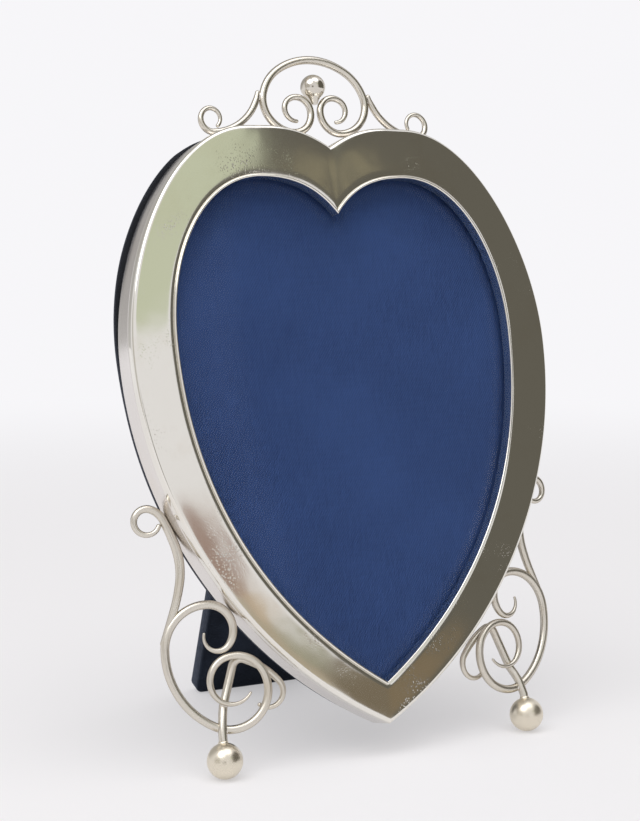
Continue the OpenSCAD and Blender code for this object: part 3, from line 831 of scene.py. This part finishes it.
def velvet(name, base, sheen):
    """Velvet: a dark pile with crushed patches and a soft sheen."""
    p = paint(name)
    place = p.place()
    crushed = p.noise(place, 55, 4, 0.6)
    pile = p.noise(place, 2600, 2, 0.6)
    light = tuple(min(1, c * 2.6 + 0.004) for c in base)
    tint = p.mix(crushed.spread(0.42, 0.75) * 0.6 + pile.spread(0.5, 0.8) * 0.3, base, light)
    height = pile + crushed * 0.8
    return p.surface(Base_Color=tint, Roughness=0.95, Specular_IOR_Level=0.15,
                     Sheen_Weight=sheen, Sheen_Roughness=0.4, Sheen_Tint=(0.55, 0.62, 0.8),
                     Normal=p.bump(height, 0.00022))


def twill(name):
    """Blue twill: fine diagonal ribs crossed by the yarns."""
    p = paint(name)
    weave = p.node("ShaderNodeUVMap", {"uv_map": "weave"})
    split = p.node("ShaderNodeSeparateXYZ", {}, {"Vector": weave})
    across = split
    up = Value(p, split.socket.node.outputs[1])
    drift = p.noise(weave, 240, 3) * 0.9
    pitch = 2 * pi / (0.62 * MM)
    ribs = (across * (pitch * 0.82) + up * (pitch * -0.57) + drift).sine() * 0.5 + 0.5
    yarn = 2 * pi / (0.31 * MM)
    thread = ((across * yarn).sine() * (up * yarn).sine()) * 0.5 + 0.5
    fade = p.noise(weave, 22, 3, 0.5)
    slub = p.noise(p.stretched(weave, (1, 0.12, 1)), 1300, 3, 0.6)
    weft = p.noise(p.stretched(weave, (0.15, 1, 1)), 1100, 3, 0.6)
    lit = ribs * 0.3 + thread * 0.15 + slub * 0.5 + weft * 0.3
    tint = p.mix(lit.spread(0.35, 0.9), tone("cloth_dark"), tone("cloth"))
    tint = p.mix(fade.spread(0.35, 0.7) * 0.35, tint, tone("cloth", 1.35))
    return p.surface(Base_Color=tint, Roughness=0.85, Specular_IOR_Level=0.2,
                     Sheen_Weight=0.25, Sheen_Roughness=0.5, Sheen_Tint=(0.5, 0.6, 0.9),
                     Normal=p.bump(ribs * 0.7 + thread * 0.3 + slub * 0.3, 0.00003))


def wood(name):
    """Stained wood with its grain up the frame."""
    p = paint(name)
    place = p.place()
    grain = p.noise(p.stretched(place, (14, 14, 1)), 60, 6, 0.62)
    pores = p.noise(p.stretched(place, (30, 30, 1)), 110, 2, 0.5)
    tint = p.mix(grain.spread(0.35, 0.7), tone("wood", 0.55), tone("wood", 1.7))
    return p.surface(Base_Color=tint, Roughness=pores.spread(0.3, 0.7, 0.45, 0.7),
                     Normal=p.bump(grain + pores * 0.5, 0.00008))


def card(name):
    """Matt card with a fibrous surface."""
    p = paint(name)
    place = p.place()
    fibre = p.noise(p.stretched(place, (1, 3, 1)), 900, 4, 0.7)
    tint = p.mix(fibre.spread(0.3, 0.8), tone("card", 0.8), tone("card"))
    return p.surface(Base_Color=tint, Roughness=0.9, Normal=p.bump(fibre, 0.00004))


def clear_glass(name):
    """Old clear glass, faintly smeared. Light passes through it to the cloth."""
    p = paint(name)
    smear = p.noise(p.place(), 60, 4, 0.6)
    shader = p.node("ShaderNodeBsdfPrincipled", {}, {
        "Base Color": (0.97, 0.99, 0.985, 1), "Transmission Weight": 1.0, "IOR": 1.13,
        "Roughness": smear.spread(0.45, 0.9, 0.0, 0.02)})
    open_way = p.node("ShaderNodeBsdfTransparent", {}, {"Color": (0.94, 0.96, 0.955, 1)})
    shadow = p.node("ShaderNodeLightPath", out="Is Shadow Ray")
    both = p.node("ShaderNodeMixShader", {}, {0: shadow, 1: shader, 2: open_way})
    p.node("ShaderNodeOutputMaterial", {}, {"Surface": both})
    return p.owner


def floor_paint(name):
    """Pale floor that fades into the background far from the object."""
    p = paint(name)
    place = p.place()
    far = p.node("ShaderNodeVectorMath", {"operation": "LENGTH"}, {0: place}, out="Value")
    grain = p.noise(place, 14, 3)
    tint = p.mix(grain * 0.12, tone("floor"), tone("floor", 0.93))
    matt = p.node("ShaderNodeBsdfDiffuse", {}, {"Color": tint})
    glow = p.node("ShaderNodeEmission", {}, {"Color": (*tone("white"), 1), "Strength": 1.0})
    path = p.node("ShaderNodeLightPath", out="Is Camera Ray")
    seen = path + Value(p, path.socket.node.outputs["Is Glossy Ray"])
    seen = seen + Value(p, path.socket.node.outputs["Is Transmission Ray"])
    fade = far.spread(0.2, 0.95, 0.42, 1) * seen.spread(0.0, 1.0)
    both = p.node("ShaderNodeMixShader", {}, {0: fade, 1: matt, 2: glow})
    p.node("ShaderNodeOutputMaterial", {}, {"Surface": both})
    return p.owner


def compass(azimuth, elevation):
    """Direction of an azimuth from the front, positive to the right, and an elevation."""
    a, e = radians(azimuth), radians(elevation)
    return (sin(a) * cos(e), -cos(a) * cos(e), sin(e))


# Cards round the studio: azimuth and elevation of the middle, inner and outer angular
# radius, and colour
CARDS = (
    (61, 14, 32.7, 33.7, (0.135, 0.127, 0.105)),
    (21, 28, 7.0, 7.6, (0.60, 0.64, 0.49)),
    (22.3, 6.4, 2.5, 3.5, (0.47, 0.41, 0.31)),
    (21.3, 11.4, 1.9, 2.4, (0.36, 0.255, 0.215)),
    (23.3, 9.3, 0.5, 1.4, (0.60, 0.48, 0.35)),
    (25.0, 7.3, 0.5, 1.5, (0.36, 0.36, 0.27)),
    (27.6, 4.4, 2.4, 3.6, (0.20, 0.165, 0.115)),
    (31.5, 5.2, 1, 3, (0.23, 0.18, 0.115)),
    (31.7, 25.1, 0.2, 1.2, (0.30, 0.27, 0.18)),
    (-75, 10, 14, 26, (0.58, 0.56, 0.53)),
    (-28, 4, 6, 11, (0.30, 0.28, 0.26)),
    (180, 35, 30, 60, (0.45, 0.44, 0.43)),
)


def paint_world():
    """Pale studio with a darker side to the right, seen by lights and reflections."""
    world = bpy.context.scene.world or bpy.data.worlds.new("Studio")
    bpy.context.scene.world = world
    p = Paint(world)
    way = p.node("ShaderNodeTexCoord", out="Generated")
    tint = None
    for azimuth, elevation, inner, outer, rgb in CARDS:
        near = p.node("ShaderNodeVectorMath", {"operation": "DOT_PRODUCT"},
                      {0: way, 1: compass(azimuth, elevation)}, out="Value")
        mask = near.spread(cos(radians(outer)), cos(radians(inner)))
        tint = p.mix(mask, tint or tone("white", 0.93), rgb)
    seen = p.node("ShaderNodeLightPath", out="Is Camera Ray")
    tint = p.mix(seen, tint, tone("white"))
    glow = p.node("ShaderNodeBackground", {}, {"Color": tint, "Strength": 1.0})
    p.node("ShaderNodeOutputWorld", {}, {"Surface": glow})


# Operators


class Maker(bpy.types.Operator):
    """Base of the operators that make pieces."""

    bl_options = {"REGISTER", "UNDO"}

    def execute(self, context):
        """Makes the pieces."""
        self.make()
        return {"FINISHED"}


# Part of the way to the sight opening at which the face rolls in, and how strongly
ROLL_START, ROLL = 0.84, 2.2 * MM


class HEARTFRAME_OT_face(Maker):
    """Makes the silver face with its rolled shoulder"""

    bl_idname = "heartframe.face"
    bl_label = "Silver face"

    @staticmethod
    def crown(part):
        """Height of the crowned face part of the way to the sight opening."""
        rolled = max(0, part - ROLL_START) ** 2 * ROLL
        swell = 0.2 * (1 - (1 - part) ** 6) + 0.8 * part
        return sizes(FRONT).dome_rise * swell - rolled

    def make(self):
        """Lofts the face from the band round the shoulder and over the crown."""
        f = sizes(FRONT)
        r, t = f.shoulder_r, f.sheet_t
        inner = r - t
        rings = [ring(-f.seam, 0, 0, -f.band_front), ring(0, 0, 0, f.seam - f.band_front)]
        for a in quarter(13):
            rings.append(ring(r * cos(a) - r, 0, 0, r * sin(a) - r))
        for s in np.linspace(0.04, 0.94, 16):
            rings.append(ring(-r, 0, s, self.crown(s)))
        lip = 0.3 * MM
        for a in quarter(5):
            rings.append(ring(0, lip * (1 - sin(a)), 1, self.crown(1) - lip * (1 - cos(a)) * 0.6))
        outer = len(rings)
        rings.append(ring(0, 0, 1, self.crown(1) - t))
        for s in np.linspace(0.8, 0.05, 5):
            rings.append(ring(-r, 0, s, self.crown(s) - t))
        for a in quarter(5)[::-1]:
            rings.append(ring(inner * cos(a) - r, 0, 0, inner * sin(a) - r))
        rings.append(ring(-t, 0, 0, -f.band_front))
        for j in range(2, outer - 4):
            for point in rings[j]:
                spot = Vector((abs(point[0]), point[1], 0)) * 55
                point[2] += f.beat * noise.noise(spot + Vector((0, 0, point[0] * 12)))
        finish = silver("Silver face", "silver", 0.06, 0.3, 0.8)
        piece = loft("silver_face", rings, finish, plane(), False)
        dress(piece, "frame", "silver_face", "face_moulding")


class HEARTFRAME_OT_band(Maker):
    """Makes the silver side band"""

    bl_idname = "heartframe.band"
    bl_label = "Side band"

    def make(self):
        """Lofts the band with broken edges."""
        f = sizes(FRONT)
        t, top, low = f.sheet_t, -f.band_front, -f.band_back
        soft = 0.25 * MM
        profile = [(-f.seam, top), (-f.seam * 0.3, top - soft * 0.5), (0, top - soft)]
        profile += [(0, z) for z in np.linspace(top - 3 * soft, low + 2 * soft, 6)]
        profile += [(-soft * (1 - cos(a)), low + soft * (1 - sin(a)))
                    for a in quarter(4)]
        profile += [(-t, low + soft), (-t, top)]
        rings = [ring(grow, 0, 0, z) for grow, z in profile]
        for j in range(3, 9):
            line = rings[j]
            for point in line:
                dent = noise.noise(Vector((point[0], point[1], point[2] * 2)) * 48)
                point[0] *= 1 - 0.0006 * (1 + dent)
        finish = silver("Silver band", "band_silver", 0.2, 0.25, 0.3)
        piece = loft("silver_band", rings, finish, plane())
        dress(piece, "frame", "silver_band", "side_band")


class HEARTFRAME_OT_rim(Maker):
    """Makes the raised rim round the sight opening"""

    bl_idname = "heartframe.rim"
    bl_label = "Sight rim"

    def make(self):
        """Lofts the rim with a round bead."""
        f = sizes(FRONT)
        top, half = f.dome_rise + f.rim_proud, f.rim_t / 2
        rings = [ring(0, 0, 1, -f.rim_foot), ring(0, 0, 1, -f.rim_foot / 2)]
        for a in np.linspace(0, pi, 11):
            rings.append(ring(0, -half * (1 - cos(a)), 1, top - half * (1 - sin(a))))
        rings += [ring(0, -f.rim_t, 1, -f.rim_foot / 2), ring(0, -f.rim_t, 1, -f.rim_foot)]
        finish = silver("Silver rim", "silver", 0.12, 0.3, 0.2)
        piece = loft("silver_rim", rings, finish, plane())
        dress(piece, "frame", "silver_rim", "sight_rim")


class HEARTFRAME_OT_crest(Maker):
    """Makes the crest of scrolled wire with its ball"""

    bl_idname = "heartframe.crest"
    bl_label = "Crest"

    def make(self):
        """Bends the three wires and turns the ball."""
        w, f = sizes(WIRE), sizes(FRONT)
        finish = silver("Silver crest wire", "wire_silver", 0.22, 0.5, 0.3, (0.5, 0.45, 0.4))
        bend_wires(crest_lines(), finish)
        r = w.crest_ball_d / 2
        tip = 0.8 * MM
        end = -r - 1.4 * MM
        profile = [(0, r)] + [(r * sin(a), r * cos(a)) for a in np.linspace(0.06, 2.55, 40)]
        profile += [(1.25 * MM, -r - 0.35 * MM), (tip, end), (0, end)]
        centre = Matrix.Translation((0, f.lobe_h + w.crest_ball_rise, wire_depth()))
        bright = silver("Silver crest ball", "wire_silver", 0.12, 0.2, 0.2)
        ball = turned("crest_ball_turned", profile, bright, plane() @ centre)
        dress(ball, "frame", "silver_ball", "crest_ball")


class HEARTFRAME_OT_feet(Maker):
    """Makes the two scrolled feet with their balls"""

    bl_idname = "heartframe.feet"
    bl_label = "Feet"

    def make(self):
        """Bends the six wires and turns the balls."""
        w = sizes(WIRE)
        finish = silver("Silver foot wire", "wire_silver", 0.27, 0.5, 0.3, (0.5, 0.45, 0.4))
        bend_wires(foot_lines(), finish)
        r = w.foot_ball_d / 2
        neck = w.foot_d / 2
        worn = silver("Silver ball feet", "foot_silver", 0.3, 0.6, 0.6)
        meet = pi - 0.3
        profile = [(0, -r)] + [(r * sin(a), -r * cos(a)) for a in np.linspace(0.05, meet, 44)]
        profile += [(neck * 1.18, r * 1.0), (neck * 1.04, r * 1.07), (neck * 0.9, r * 1.09),
                    (0, r * 1.09)]
        centre = np.array(((*ball_centre(), wire_depth() + w.foot_ball_out),))
        x, y, z = foot_turned(centre)[0]
        for side, sign in (("left", -1), ("right", 1)):
            place = plane() @ Matrix.Translation((sign * x, y, z))
            ball = turned(f"foot_ball_{side}_turned", profile, worn, place)
            dress(ball, "frame", "silver_foot", "foot_ball_" + side)


# Largest gap that solder bridges, to the band and between wires
BAND_REACH, WIRE_REACH = 0.35 * MM, 0.15 * MM


def meeting_points(a, b, reach):
    """Places where two wires come nearest, with the direction along the first."""
    (pa, ra), (pb, rb) = a, b
    gaps = np.linalg.norm(pa[:, None] - pb[None], axis=2) - ra[:, None] - rb[None]
    nearest = gaps.min(1)
    found = []
    for i in range(1, len(pa) - 1):
        if nearest[i] < reach and nearest[i] <= nearest[i - 1] and nearest[i] < nearest[i + 1]:
            j = int(gaps[i].argmin())
            along = pa[min(i + 1, len(pa) - 1)] - pa[i - 1]
            found.append(((pa[i] + pb[j]) / 2, along, min(ra[i], rb[j])))
    return found


class HEARTFRAME_OT_solder(Maker):
    """Makes the beads of solder where the wires meet each other and the band"""

    bl_idname = "heartframe.solder"
    bl_label = "Solder"

    def make(self):
        """Sets an uneven bead at each meeting place."""
        band = frame_line(0)
        edge = (outline_ring(band, wire_depth()), np.zeros(len(band)))
        lines = {**crest_lines(), **foot_lines()}
        names = sorted(lines)
        spots = []
        for i, name in enumerate(names):
            spots += meeting_points(lines[name], edge, BAND_REACH)
            for other in names[i + 1:]:
                if name.split("_")[0] == other.split("_")[0]:
                    spots += meeting_points(lines[name], lines[other], WIRE_REACH)
        mesh = mesh_of("solder_beads", ())
        with Edit(mesh) as work:
            for at, along, radius in spots:
                x = Vector(along).normalized()
                z = Vector((0, 0, 1))
                y = z.cross(x).normalized()
                turn = Matrix((x, y, z)).transposed().to_4x4()
                size = Matrix.Diagonal((radius * 1.7, radius * 0.95, radius * 0.8, 1))
                made = bmesh.ops.create_icosphere(
                    work, subdivisions=3, radius=1, matrix=Matrix.Translation(at) @ turn @ size)
                for vert in made["verts"]:
                    vert.co += (vert.co - Vector(at)) * 0.18 * noise.noise(vert.co * 900)
        mesh.transform(plane())
        bright = silver("Silver solder", "band_silver", 0.24, 0.3, 0.3)
        piece = finished("solder_beads", mesh, bright)
        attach(piece, "frame")


class HEARTFRAME_OT_glass(Maker):
    """Makes the bevelled glass"""

    bl_idname = "heartframe.glass"
    bl_label = "Bevelled glass"

    def make(self):
        """Stacks the back, the edge and the front drawn in by the bevel."""
        f, b = sizes(FRONT), sizes(BACK)
        front, back = -f.rim_foot, -f.rim_foot - b.glass_t + 0.06 * MM
        full, flat = sight_line(b.glass_lap), sight_line(b.glass_lap - b.bevel_w)
        rings = [outline_ring(full, back), outline_ring(full, back + b.glass_edge_t),
                 outline_ring(flat, front)]
        piece = stack("bevelled_glass", rings, clear_glass("Clear glass"), plane(), 4)
        dress(piece, "frame", "glass", "glass")


class HEARTFRAME_OT_mount(Maker):
    """Makes the cloth covered mount behind the glass"""

    bl_idname = "heartframe.mount"
    bl_label = "Cloth mount"

    def make(self):
        """Cuts the cloth and gives the card under it its finish."""
        f, b = sizes(FRONT), sizes(BACK)
        line = sight_line(b.glass_lap)
        front = -f.rim_foot - b.glass_t
        back = front - b.cloth_t
        piece = stack("mount_cloth_sheet", [outline_ring(line, front), outline_ring(line, back)],
                      twill("Blue twill"), plane(), 35, True)
        dress(piece, "frame", "blue_cloth", "mount_cloth")
        coat(frame["nodes"]["mount_card"].data, card("Mount card"))


class HEARTFRAME_OT_back(Maker):
    """Makes the velvet covered wooden back"""

    bl_idname = "heartframe.back"
    bl_label = "Velvet back"

    def make(self):
        """Wraps velvet round the wooden flange and over the back panel."""
        f, b = sizes(FRONT), sizes(BACK)
        stain = wood("Stained wood")
        for node in ("wood_frame", "back_panel", "strut_board"):
            coat(frame["nodes"][node].data, stain)
        pile = velvet("Black velvet", tone("velvet"), 0.35)
        back, flange = -velvet_back(), -f.band_back - b.flange_t
        out, soft = -b.back_inset, b.velvet_edge
        inner = b.glass_lap + b.glass_gap

        def covered(grow, part, z):
            """Ring of the cover, which stands out further behind the lobes."""
            near, far = ring(grow, inner, part, z), ring(grow + b.back_out, inner, part, z)
            up = np.clip((near[:, 1:2] / MM - 85) / 45, 0, 1)
            aside = np.clip((abs(near[:, :1]) / MM - 24) / 16, 0, 1)
            return near + (far - near) * up * up * (3 - 2 * up) * aside

        rings = [ring(out, 0, 0, -f.band_back), covered(out, 0, -f.band_back - 1 * MM)]
        for a in quarter(6):
            rings.append(covered(out - soft * (1 - cos(a)), 0, back + soft * (1 - sin(a))))
        for s in np.linspace(0.12, 0.9, 9):
            rings.append(covered(out - soft, s, back))
        edge = b.velvet_t * 0.6
        for a in quarter(4):
            rings.append(ring(0, inner + edge * (1 - sin(a)), 1, back + edge * (1 - cos(a))))
        rings += [ring(0, inner, 1, flange), ring(out - b.velvet_t, 0, 0, flange),
                  ring(out - b.velvet_t, 0, 0, -f.band_back)]
        for j in range(8, 17):
            for point in rings[j]:
                point[2] += 0.07 * MM * (noise.noise(Vector(point) * 90) + 0.5)
        piece = loft("frame_velvet_cover", rings, pile, plane(), False, 60)
        dress(piece, "frame", "velvet", "frame_velvet")
        grow = inner - b.panel_gap
        rings = [outline_ring(sight_line(grow), flange),
                 outline_ring(sight_line(grow), back + edge)]
        for a in np.linspace(0.35, pi / 2, 4):
            rings.append(outline_ring(sight_line(grow - edge * (1 - cos(a))),
                                      back + edge * (1 - sin(a))))
        rings.append(outline_ring(sight_line(grow - 3 * MM), back))
        cover = stack("panel_velvet_cover", rings, pile, plane(), 60)
        dress(cover, "frame", "velvet", "panel_velvet")


class HEARTFRAME_OT_fittings(Maker):
    """Makes the turn buttons, the hinge and its pin"""

    bl_idname = "heartframe.fittings"
    bl_label = "Brass fittings"

    def make(self):
        """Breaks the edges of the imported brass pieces."""
        metal = brass("Satin brass")
        for side in BUTTONS:
            node = "turn_button_" + side
            piece = softened(node + "_plate", node, metal, 0.22 * MM, 3)
            dress(piece, node, "brass", node)
        for node, body in (("hinge_plate_back", "frame"), ("hinge_plate_strut", "strut"),
                           ("hinge_pin", "frame")):
            piece = softened(node + "_brass", node, metal, 0.14 * MM, 2)
            dress(piece, body, "brass", node)


def screws(name, profile, places, slot, material):
    """Slotted screws whose heads' tops lie at these places. Slot is (width, depth)."""
    head = turned(name + "_blank", profile, material, Matrix.Rotation(radians(90), 4, "X"), 32)
    mesh = mesh_of(name, [m.translation for m in places])
    facing = mesh.attributes.new("facing", "FLOAT_VECTOR", "POINT")
    for i, m in enumerate(places):
        spun = m @ Matrix.Rotation(0.7 * i + 0.4, 4, "Z")
        facing.data[i].vector = spun.to_euler("XYZ")
    group = Group("Slotted Screws", Width="Float", Depth="Float")
    blank = group.node("GeometryNodeObjectInfo", {"Object": head}, "Geometry")
    deep = group.node(
        "ShaderNodeMath", {0: group.given["Depth"], 1: 2}, operation="MULTIPLY")
    size = group.node(
        "ShaderNodeCombineXYZ", {"X": 20 * MM, "Y": group.given["Width"], "Z": deep})
    bar = group.node("GeometryNodeMeshCube", {"Size": size})
    cut = group.node(
        "GeometryNodeMeshBoolean", {"Mesh 1": blank, "Mesh 2": bar}, operation="DIFFERENCE")
    turn = group.node(
        "FunctionNodeEulerToRotation", {0: group.attribute("facing", "FLOAT_VECTOR")})
    copies = group.node("GeometryNodeInstanceOnPoints", {
        "Points": group.given["Geometry"], "Instance": cut, "Rotation": turn})
    piece = finished(name, group.grown(name, mesh, copies, *slot, material), material, 30)
    bpy.data.objects.remove(head)
    return piece


# Width and depth of the screws' slots
BUTTON_SLOT, HINGE_SLOT = (0.5 * MM, 0.35 * MM), (0.35 * MM, 0.3 * MM)


class HEARTFRAME_OT_screws(Maker):
    """Makes the slotted screws of the turn buttons and the hinge"""

    bl_idname = "heartframe.screws"
    bl_label = "Screws"

    def make(self):
        """Sets round headed screws on the buttons and countersunk ones in the hinge."""
        b = sizes(BACK)
        metal = brass("Screw brass")
        flip = Matrix.Rotation(pi, 4, "X")
        head_r, head_h, shank, long = 2.0 * MM, 0.8 * MM, 1.1 * MM, 6.8 * MM
        dome = [(0, 0)] + [(head_r * sin(a), -head_h * (1 - cos(a)) * 1.25)
                           for a in np.linspace(0.25, 1.35, 7)]
        dome += [(head_r, -head_h), (shank, -head_h), (shank, -long), (0, -long - 0.6 * MM)]
        places = []
        under = velvet_back() + b.button_gap + b.button_t
        turn = plane().to_3x3().to_4x4()
        for side in BUTTONS:
            joint = JOINTS[f"turn_button_{side}_pivot"]
            at = plane().inverted() @ Vector(joint["pos_m"])
            at.z = -under - 0.1 * MM - head_h
            places.append(Matrix.Translation(plane() @ at) @ turn @ flip)
        piece = screws("button_screws_slotted", dome, places, BUTTON_SLOT, metal)
        dress(piece, "frame", "brass", "button_screws")
        r, sink, shank = 1.3 * MM, 0.7 * MM, 0.6 * MM
        flat = [(0, 0), (r * 0.9, 0), (r, -0.06 * MM), (shank, -sink), (shank, -3.4 * MM),
                (0, -4 * MM)]
        row = [i * b.screw_pitch for i in (-1, 0, 1)]
        leaf = leaf_back()
        places = [plane() @ Matrix.Translation((x, b.hinge_h + b.screw_y, -leaf)) @ flip
                  for x in row]
        piece = screws("hinge_screws_back_slotted", flat, places, HINGE_SLOT, metal)
        dress(piece, "frame", "brass", "hinge_screws_back")
        front = hinge_depth() - leaf + b.leaf_t
        places = [strut_plane() @ Matrix.Translation((x, -b.screw_y, front)) for x in row]
        piece = screws("hinge_screws_strut_slotted", flat, places, HINGE_SLOT, metal)
        dress(piece, "strut", "brass", "hinge_screws_strut")


class HEARTFRAME_OT_strut(Maker):
    """Makes the velvet cover of the strut"""

    bl_idname = "heartframe.strut"
    bl_label = "Strut"

    def make(self):
        """Extrudes the strut's side view, cuts its corners and rounds its edges."""
        b = sizes(BACK)
        depth = hinge_depth()
        leaf = leaf_back()
        swing = OPEN_ANGLE - LEAN

        def reach(behind):
            """Distance from the pin down to the floor at a depth behind the pin."""
            return (HINGE_PIN.z + behind * sin(swing)) / cos(swing)

        front, back = leaf - depth, leaf + b.strut_t + 2 * b.velvet_t - depth
        heel = b.knuckle_r + b.strut_gap
        step = -b.knuckle_r - 2 * b.strut_gap
        heel_h = (heel * cos(OPEN_ANGLE) + depth - leaf - b.stop_gap) / sin(OPEN_ANGLE)
        side = [(front, step), (heel, step), (heel, heel_h), (back, heel_h),
                (back, -reach(back)), (front, -reach(front))]
        w, foot, corner = b.strut_w / 2, -reach(back), b.strut_corner
        points = [(x, y, -d) for x in (-w, w) for d, y in side]
        n = len(side)
        faces = [tuple(range(n)), tuple(range(n, 2 * n))]
        faces += [(i, (i + 1) % n, n + (i + 1) % n, n + i) for i in range(n)]
        mesh = mesh_of("strut_cover", points, faces)
        with Edit(mesh) as work:
            for sign in (-1, 1):
                cut = bmesh.ops.bisect_plane(
                    work, geom=work.verts[:] + work.edges[:] + work.faces[:], clear_outer=True,
                    plane_co=(sign * w, foot + corner, 0), plane_no=(sign, -1, 0))
                rim = [e for e in cut["geom_cut"] if isinstance(e, bmesh.types.BMEdge)]
                bmesh.ops.contextual_create(work, geom=rim)
            bmesh.ops.remove_doubles(work, verts=work.verts, dist=1e-6)
            bmesh.ops.recalc_face_normals(work, faces=work.faces)
        mesh.transform(strut_plane())
        pile = velvet("Blue black velvet", tone("strut_velvet"), 0.45)
        cover = finished(
            "strut_velvet_cover", bevelled(mesh, b.velvet_edge, 4, 25), pile, 60)
        dress(cover, "strut", "strut_velvet", "strut_velvet")


class HEARTFRAME_OT_stage(Maker):
    """Makes the floor, the light and the camera"""

    bl_idname = "heartframe.stage"
    bl_label = "Stage"

    def make(self):
        """Lays the floor, lights it softly and sets the camera."""
        s = sizes(STAGE)
        scene = bpy.context.scene
        scene.view_settings.view_transform = "Standard"
        mesh = mesh_of("floor", ())
        with Edit(mesh) as work:
            bmesh.ops.create_circle(work, cap_ends=True, segments=96, radius=s.floor_r)
        coat(mesh, floor_paint("Pale floor"))
        placed("floor", mesh)
        paint_world()
        for name, power, azimuth, elevation, reach, width in (
                ("key", s.key, -62, 52, 0.9, 0.7), ("fill", s.fill, 25, 70, 1.1, 0.8)):
            lamp = bpy.data.lights.new(name, "AREA")
            lamp.energy = power
            lamp.shape = "DISK"
            lamp.size = width
            light = placed(name, lamp)
            way = Vector(compass(azimuth, elevation))
            light.location = way * reach + Vector((0, 0, 0.09))
            light.rotation_euler = way.to_track_quat("Z", "Y").to_euler()
        camera = bpy.data.cameras.new("camera")
        camera.sensor_fit = "VERTICAL"
        camera.sensor_height = 36
        camera.lens = s.focus_px / s.picture_h * camera.sensor_height
        eye = placed("camera", camera)
        eye.location = s.camera
        eye.rotation_euler = s.aim
        scene.camera = eye


STEPS = (HEARTFRAME_OT_face, HEARTFRAME_OT_band, HEARTFRAME_OT_rim, HEARTFRAME_OT_crest,
         HEARTFRAME_OT_feet, HEARTFRAME_OT_solder, HEARTFRAME_OT_glass, HEARTFRAME_OT_mount,
         HEARTFRAME_OT_back, HEARTFRAME_OT_fittings, HEARTFRAME_OT_screws,
         HEARTFRAME_OT_strut, HEARTFRAME_OT_stage)
GROUPS = {FRONT: HEARTFRAME_PG_front, WIRE: HEARTFRAME_PG_wire, BACK: HEARTFRAME_PG_back,
          FINISH: HEARTFRAME_PG_finish, STAGE: HEARTFRAME_PG_stage}


class HEARTFRAME_PT_panel(bpy.types.Panel):
    """Lists the steps that build the frame"""

    bl_label = "Heart Frame"
    bl_idname = "HEARTFRAME_PT_panel"
    bl_space_type = "VIEW_3D"
    bl_region_type = "UI"
    bl_category = "Heart Frame"

    def draw(self, context):
        """Draws a button for each step."""
        for step in STEPS:
            self.layout.operator(step.bl_idname)


CLASSES = tuple(GROUPS.values()) + STEPS + (HEARTFRAME_PT_panel,)


def register():
    """Registers the classes and hangs the sizes on the scene."""
    for cls in CLASSES:
        bpy.utils.register_class(cls)
    for name, group in GROUPS.items():
        setattr(bpy.types.Scene, name, PointerProperty(type=group))


def unregister():
    """Takes the sizes off the scene and unregisters the classes."""
    for name in GROUPS:
        delattr(bpy.types.Scene, name)
    for cls in reversed(CLASSES):
        bpy.utils.unregister_class(cls)


def main():
    """Builds every piece in order."""
    register()
    for step in STEPS:
        group, name = step.bl_idname.split(".")
        getattr(getattr(bpy.ops, group), name)()


if __name__ == "__main__":
    main()
